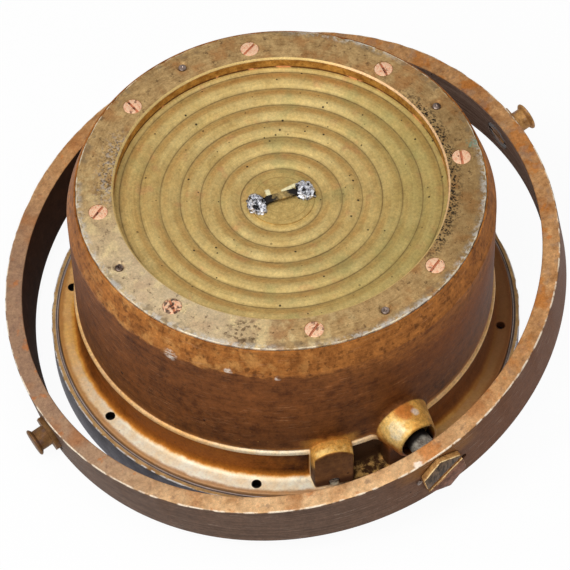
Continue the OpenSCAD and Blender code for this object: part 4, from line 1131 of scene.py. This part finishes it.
def corrugated_sheet():
    """A round sheet with ring-shaped ridges that meet in sharp creases, dished towards its flat middle."""
    recipe = Recipe("corrugated_sheet")
    rings, spokes = recipe.sizes("Rings", "Spokes", kind="Int")
    rim, first, pitch, last = recipe.sizes("Rim Radius", "First Crease", "Crease Pitch", "Last Crease")
    ridge, dish, base, dents = recipe.sizes("Ridge Height", "Dish", "Base Height", "Dents")
    middle_r, middle_z = recipe.sizes("Middle Radius", "Middle Height")
    edge_r, edge_z = recipe.sizes("Edge Radius", "Edge Height")
    grid = recipe.node("GeometryNodeMeshGrid", Vertices_X=rings, Vertices_Y=spokes)
    outward, around, _ = recipe.apart(recipe.node("GeometryNodeInputPosition").outputs[0])
    r = (outward + 0.5) * rim
    angle = around * (2 * math.pi)
    held = r.most(first).least(last)
    wave = (held - first) / pitch * math.pi
    sheet = base - (1.0 - (held / last) ** 2.0) * dish + abs(wave.run("SINE")) * ridge
    sheet = recipe.between(middle_z, sheet, recipe.share_of_way(r, middle_r, first))
    sheet = recipe.between(sheet, edge_z, recipe.share_of_way(r, last, edge_r))
    x, y = r * angle.run("COSINE"), r * angle.run("SINE")
    lumps = recipe.node("ShaderNodeTexNoise", Vector=recipe.vector(x, y), Scale=45.0, Detail=2.0)
    z = sheet + (Value(recipe, lumps.outputs[0]) - 0.5) * dents
    bent = recipe.node("GeometryNodeSetPosition", Geometry=grid.outputs[0], Position=recipe.vector(x, y, z))
    whole = recipe.node("GeometryNodeMergeByDistance", Geometry=bent.outputs[0], Distance=1e-5)
    return recipe.close(whole.outputs[0])


# Pieces


def screw_mesh(head_r, shank_r, length, slot_w, slot_d, rim=0.35):
    """A countersunk screw with its head's face at height 0 and a slot along X."""
    head_h = head_r - shank_r + rim
    outline = rounded([
        (0, 0.12), (head_r * 0.6, 0.1), (head_r, 0, 0.2), (head_r, -rim), (shank_r, -head_h),
        (shank_r, shank_r / 2 - length), (shank_r / 2, -length), (0, -length),
    ], 3)
    screw = lathe("screw", outline, 40)
    slot = block((-head_r - 1, -slot_w / 2, -slot_d), (head_r + 1, slot_w / 2, 1))
    return edged(cut(screw, [slot]), 0.12, 40)


def screw_hole(head_r, shank_r, depth, rim=0.35):
    head_h = head_r - shank_r + rim
    return stepped_hole([(head_r, 1), (head_r, -rim), (shank_r, -head_h), (shank_r, -depth)], 40)


def boss_root(reach=3.4, steps=72, curve=6):
    """The cast fillet where a pivot boss grows out of the wall, closed behind."""
    lean = (boss_root_r - boss_face_r) / (boss_face_y - wall_r)
    made = bmesh.new()
    rows = []

    def on_wall(radius, angle, deep=0.0):
        x = radius * math.cos(angle)
        return Vector((x, -math.sqrt(wall_r ** 2 - x * x) + deep, pivot_z + radius * math.sin(angle)))

    for step in range(steps):
        angle = 2 * math.pi * step / steps
        meet = on_wall(boss_root_r, angle)
        foot = on_wall(boss_root_r + reach, angle, 0.1)
        top_y = meet.y - reach
        top_r = boss_root_r - lean * max(0.0, -top_y - wall_r)
        top = Vector((top_r * math.cos(angle), top_y, pivot_z + top_r * math.sin(angle)))
        row = []
        for index in range(curve + 1):
            t = index / curve
            row.append(top * (1 - t) ** 2 + meet * 2 * t * (1 - t) + foot * t * t)
        row.append(on_wall(boss_root_r - 2, angle, 2.0))
        rows.append([made.verts.new(point * MM) for point in row])
    for first, second in zip(rows, rows[1:] + rows[:1]):
        skin(made, first, second)
    return finished_mesh(made, "boss_root")


def pivot_boss():
    outline = rounded([
        (0, wall_r - 3), (boss_root_r, wall_r - 3), (boss_root_r, wall_r), (boss_face_r, boss_face_y, 1.3),
        (boss_bore_r, boss_face_y, 0.4), (boss_bore_r, boss_bore_y), (0, boss_bore_y),
    ], 5)
    boss = moved(lathe("pivot_boss", outline, 96), FORWARD)
    boss = dented(boss, 0.5, 9, 5, lambda place: 1.0 if place.y < -wall_r else 0.0)
    foot = block((-foot_wide, -wall_r - foot_out, flange_top - 1), (foot_half_w, -wall_r + 3, pivot_z))
    hollow = moved(stepped_hole([(boss_bore_r, boss_bore_y), (boss_bore_r, boss_face_y + 5)]), FORWARD)
    return joined([boss, boss_root(), cut(edged(foot, 1.4, 30, 4), [hollow])])


def filler_lug():
    """The arched lug with the filler plug, its front edge rounded and its sides run out into the wall."""
    half = 9.45
    rise = 4.4
    top = 43.4
    face = 110.3
    arch_r = (half ** 2 + rise ** 2) / (2 * rise)
    spring = math.degrees(math.asin(half / arch_r))
    outline = [(-half, flange_top - 1), (half, flange_top - 1)]
    outline += arc((0, top - arch_r), arch_r, 90 - spring, 90 + spring, 16)
    made = bmesh.new()
    front = [made.verts.new((x * MM, -face * MM, z * MM)) for x, z in outline]
    back = [made.verts.new((x * 1.14 * MM, -(inner_r + 1.5) * MM, z * MM)) for x, z in outline]
    made.faces.new(front)
    made.faces.new(list(reversed(back)))
    skin(made, front, back)
    lug = edged(finished_mesh(made, "filler_lug"), 1.5, 35, 4)
    plug_hole = stepped_hole([(2.9, face - 2.5), (2.9, face + 2)], 40)
    lug = cut(lug, [moved(plug_hole, at(0, 0, flange_top + 3.2) @ round_x(90))])
    return moved(lug, round_z(LUG_AZIMUTH + 90))


def make_bowl(material):
    bead_middle = (wall_r + bead_out - bead_r, bead_z)
    low_angle = -math.degrees(math.acos((neck_r - bead_middle[0]) / bead_r))
    high_angle = math.degrees(math.acos((wall_r - bead_middle[0]) / bead_r))
    outline = rounded([
        (glass_bore_r, flange_z), (flange_r, flange_z, 0.4), (flange_r, flange_top, 0.8),
        (neck_r + cove_r, flange_top),
    ])
    outline += arc((neck_r + cove_r, flange_top + cove_r), cove_r, -90, -180, 10)[1:]
    outline += arc(bead_middle, bead_r, low_angle, high_angle, 12)
    outline += rounded([
        (wall_r, bead_z + 3), (wall_r, shoulder_z, 2.0), (rim_r, rim_z, 0.3), (rebate_r, rim_z, 0.15),
        (rebate_r, ledge_top), (open_r, ledge_top), (open_r, ledge_z), (inner_r, ledge_z, 2),
        (inner_r, seat_z), (glass_bore_r, seat_z),
    ])
    hole = [(flange_hole_r, flange_z - 1), (flange_hole_r, flange_top + 5)]
    places = circle_of(8, flange_screw_r, flange_screw_az)
    shell = cut(lathe("bowl_casting", outline, 360), [moved(stepped_hole(hole), place) for place in places])
    bosses = [pivot_boss(), moved(pivot_boss(), round_z(180))]
    return piece("bowl_casting", smooth(joined([shell, filler_lug(), *bosses])), "bowl", material, "bowl")


def make_clamp_ring(material):
    outline = rounded([
        (open_r, clamp_z), (clamp_r, clamp_z), (clamp_r, clamp_top, 0.5), (open_r + 0.8, clamp_top, 0.15),
        (open_r, clamp_top - 0.8, 0.15),
    ])
    face = at(0, 0, clamp_top)
    dowel = [(3.3, 1), (3.3, 0), (2.05, -1.3), (2.05, -8)]
    screws = circle_of(8, clamp_screw_r, clamp_screw_az)
    tools = [moved(screw_hole(4.68, 2.65, 8), face @ place) for place in screws]
    tools += [moved(stepped_hole(dowel, 40), face @ place) for place in circle_of(4, dowel_circle_r)]
    ring = cut(lathe("clamp_ring", outline, 360), tools)
    ring = dented(ring, 0.5, 5, 3, beyond(clamp_r - 0.7, clamp_top - 0.8))
    return piece("clamping_ring", smooth(ring), "bowl", material, "clamp_ring")


def make_screws(material, tree):
    screws = grown(
        tree, screw_mesh(4.5, 2.5, 14, 1.2, 0.7), count=8, radius=clamp_screw_r * MM,
        first_angle=math.radians(clamp_screw_az), height=(clamp_top - 0.12) * MM,
        slot_direction=math.radians(59), slot_spread=0.9, seed=4, material=material,
    )
    return piece("clamping_screws", smooth(screws), "bowl", material, "clamp_screws")


def make_diaphragm(material):
    sheet = grown(
        corrugated_sheet(), bpy.data.meshes.new("start"), rim_radius=sheet_rim_r * MM,
        first_crease=crease_r * MM, crease_pitch=crease_pitch * MM,
        last_crease=(crease_r + ridges * crease_pitch) * MM, ridge_height=0.0012, dish=0.0048,
        base_height=(clamp_z - 1.2) * MM, middle_radius=0.0162, middle_height=0.1009, edge_radius=0.0789,
        edge_height=clamp_z * MM, dents=0.0002, rings=124, spokes=241, material=material,
    )
    made = piece("diaphragm_sheet", smooth(sheet, 60), "bowl", material, "diaphragm")
    walled = made.modifiers.new("thickness", "SOLIDIFY")
    walled.thickness = 0.0005
    walled.offset = -1
    return made


def make_gimbal_ring(material):
    half = ring_h / 2
    margin = 1.6
    outline = rounded([
        (ring_bore_r + margin, -half), (ring_r - margin, -half), (ring_r, -half, 0.6),
        (ring_r, margin - half), (ring_r, half - margin), (ring_r, half, 0.7),
        (ring_r - margin, half), (ring_bore_r + margin, half), (ring_bore_r, half, 0.6),
        (ring_bore_r, half - margin), (ring_bore_r, margin - half), (ring_bore_r, -half, 0.6),
    ])
    ring = dented(lathe("gimbal_ring", outline, 480), 0.28, 7, 9, beyond(ring_r - 0.9, half - 0.9))
    within, outside = 120, 146
    pivot = [
        (pivot_hole_r, within), (pivot_hole_r, pivot_seat_y), (pivot_corner_r, pivot_seat_y),
        (pivot_corner_r, outside),
    ]
    keeper = [(keeper_hole_r, keeper_end_y), (keeper_hole_r, outside)]
    stud = [
        (nut_hole_r, within), (nut_hole_r, nut_seat_x), (stud_hole_r, nut_seat_x),
        (stud_hole_r, collar_seat_x), (collar_hole_r, collar_seat_x), (collar_hole_r, outside),
    ]
    tools = []
    for side in (0, 180):
        beside = round_z(side) @ round_y(keeper_turn) @ at(keeper_side, 0, 0) @ round_x(90)
        tools.append(moved(stepped_hole(pivot), round_z(side) @ round_x(90)))
        tools.append(moved(stepped_hole(keeper), beside))
        tools.append(moved(stepped_hole(stud), round_z(side + 90) @ round_x(90)))
    ring = cut(ring, tools)
    return piece("gimbal_hoop", smooth(moved(ring, LEANING)), "gimbal", material, "gimbal_ring")


def make_bezel(material):
    outline = rounded([
        (bezel_face_r, 0, 0.2), (bezel_r, 0, 0.8), (bezel_r, bezel_top, 0.5), (bezel_bore_r, bezel_top, 0.2),
        (bezel_bore_r, flange_z), (glass_bore_r, flange_z), (glass_bore_r, lip_t), (window_r, lip_t),
        (window_r, window_bevel, 0.2),
    ])
    places = circle_of(8, flange_screw_r, flange_screw_az)
    tools = [moved(screw_hole(4.0, 2.2, 10), place @ round_x(180)) for place in places]
    ring = cut(lathe("bezel", outline, 360), tools)
    ring = dented(ring, 0.6, 6, 6, beyond(bezel_r - 0.85, bezel_top - 1))
    return piece("bezel", smooth(ring), "bowl", material, "bezel_ring")


def make_solder(material):
    """Two heaps of solder, lumpy and a little different from each other."""
    heaps = []
    turn = round_z(BAR_AZIMUTH)
    for side in (-1, 1):
        made = bmesh.new()
        bmesh.ops.create_icosphere(made, subdivisions=5, radius=MM)
        shift = Vector((side * 3.7, 1.9, 0.4))
        for vertex in made.verts:
            way = vertex.co / MM
            lump = 1 + 0.3 * noise.noise(way * 1.7 + shift) + 0.16 * noise.noise(way * 4.2 + shift)
            height = way.z * (3.5 if way.z > 0 else 0.6)
            vertex.co = Vector((way.x * 4.5 * lump, way.y * 5.9 * lump, height * lump)) * MM
        heaps.append(moved(finished_mesh(made, "solder"), turn @ at(side * 12.4, 0, 101.5)))
    return piece("solder_heaps", smooth(joined(heaps), 180), "bowl", material, "solder_joints")


def make_card_marks(material, tree):
    """Degree strokes and plain numbers on the card's face, which looks down through the glass."""
    relief = 0.00008
    strokes_r = 0.088
    numbers_r = 0.067
    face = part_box("card_disc")[0].z - relief
    strokes = []
    for count, length, width in ((360, 0.002, 0.0003), (72, 0.0042, 0.0005), (36, 0.0065, 0.0009)):
        strokes.append(grown(
            tree, bpy.data.meshes.new("start"), count=count, radius=strokes_r - length / 2, height=face,
            tick_length=length, tick_width=width, tick_relief=2 * relief, material=material,
        ))
    for number in range(0, 360, 30):
        words = bpy.data.curves.new("number", "FONT")
        words.body = str(number)
        words.size = 0.011
        words.align_x = "CENTER"
        words.extrude = relief
        thing = linked("number", words)
        mesh = evaluated(thing)
        bpy.data.objects.remove(thing)
        place = round_z(number) @ Matrix.Translation((0, numbers_r, face)) @ round_y(180)
        strokes.append(moved(mesh, place))
    return piece("card_marks", joined(strokes), "card", material)


make_camera()
make_studio()

bronze = cast_bronze()
brass = plain_brass()
ring_finish = gimbal_bronze()
pivot_finish = pivot_bronze()
pins = steel()
dull_steel = steel("dull_steel", (168, 148, 136), (70, 54, 46), 105)
solder_finish = solder()
packing = rubber()
sheet = sheet_brass()
ink = plain_brass("dial_ink", (20, 20, 22), (40, 38, 36), 111)
fasteners = fastener_circle()

make_bowl(bronze)
make_clamp_ring(ring_brass())
make_screws(copper(), fasteners)
make_diaphragm(sheet)
make_gimbal_ring(ring_finish)
make_bezel(bezel_zinc())
make_solder(solder_finish)
make_card_marks(ink, tick_circle())
for node in ("pivot_screw_front", "pivot_screw_rear"):
    worn_copy(node.replace("screw", "bolt"), node, 0.5, "gimbal", pivot_finish)
for node in ("trunnion_left", "trunnion_right"):
    worn_copy(node.replace("trunnion", "trunnion_stud"), node, 0.3, "gimbal", pivot_finish)
worn_copy("soldered_bar", "centre_bar", 0.25, "bowl", bar_brass())

finishes = {
    "ring_dowels": dull_steel,
    "bezel_screws": hidden_tips(),
    "trunnion_nuts": plain_brass("dark_nut", (44, 30, 24), (84, 60, 46), 131),
    "keeper_pins": dull_steel,
    "filler_plug": pins,
    "magnets": pins,
    "pivot_point": pins,
    "lubber_screws": pins,
    "centre_disc": sheet,
    "float_base": sheet,
    "float_dome": sheet,
    "filler_washer": solder_finish,
    "glass": clear_glass(),
    "glass_packing": packing,
    "diaphragm_gasket": packing,
    "card_disc": card_enamel(),
    "jewel": sapphire(),
}
for name, node in NODES.items():
    node.data.materials.clear()
    node.data.materials.append(finishes.get(name, brass))
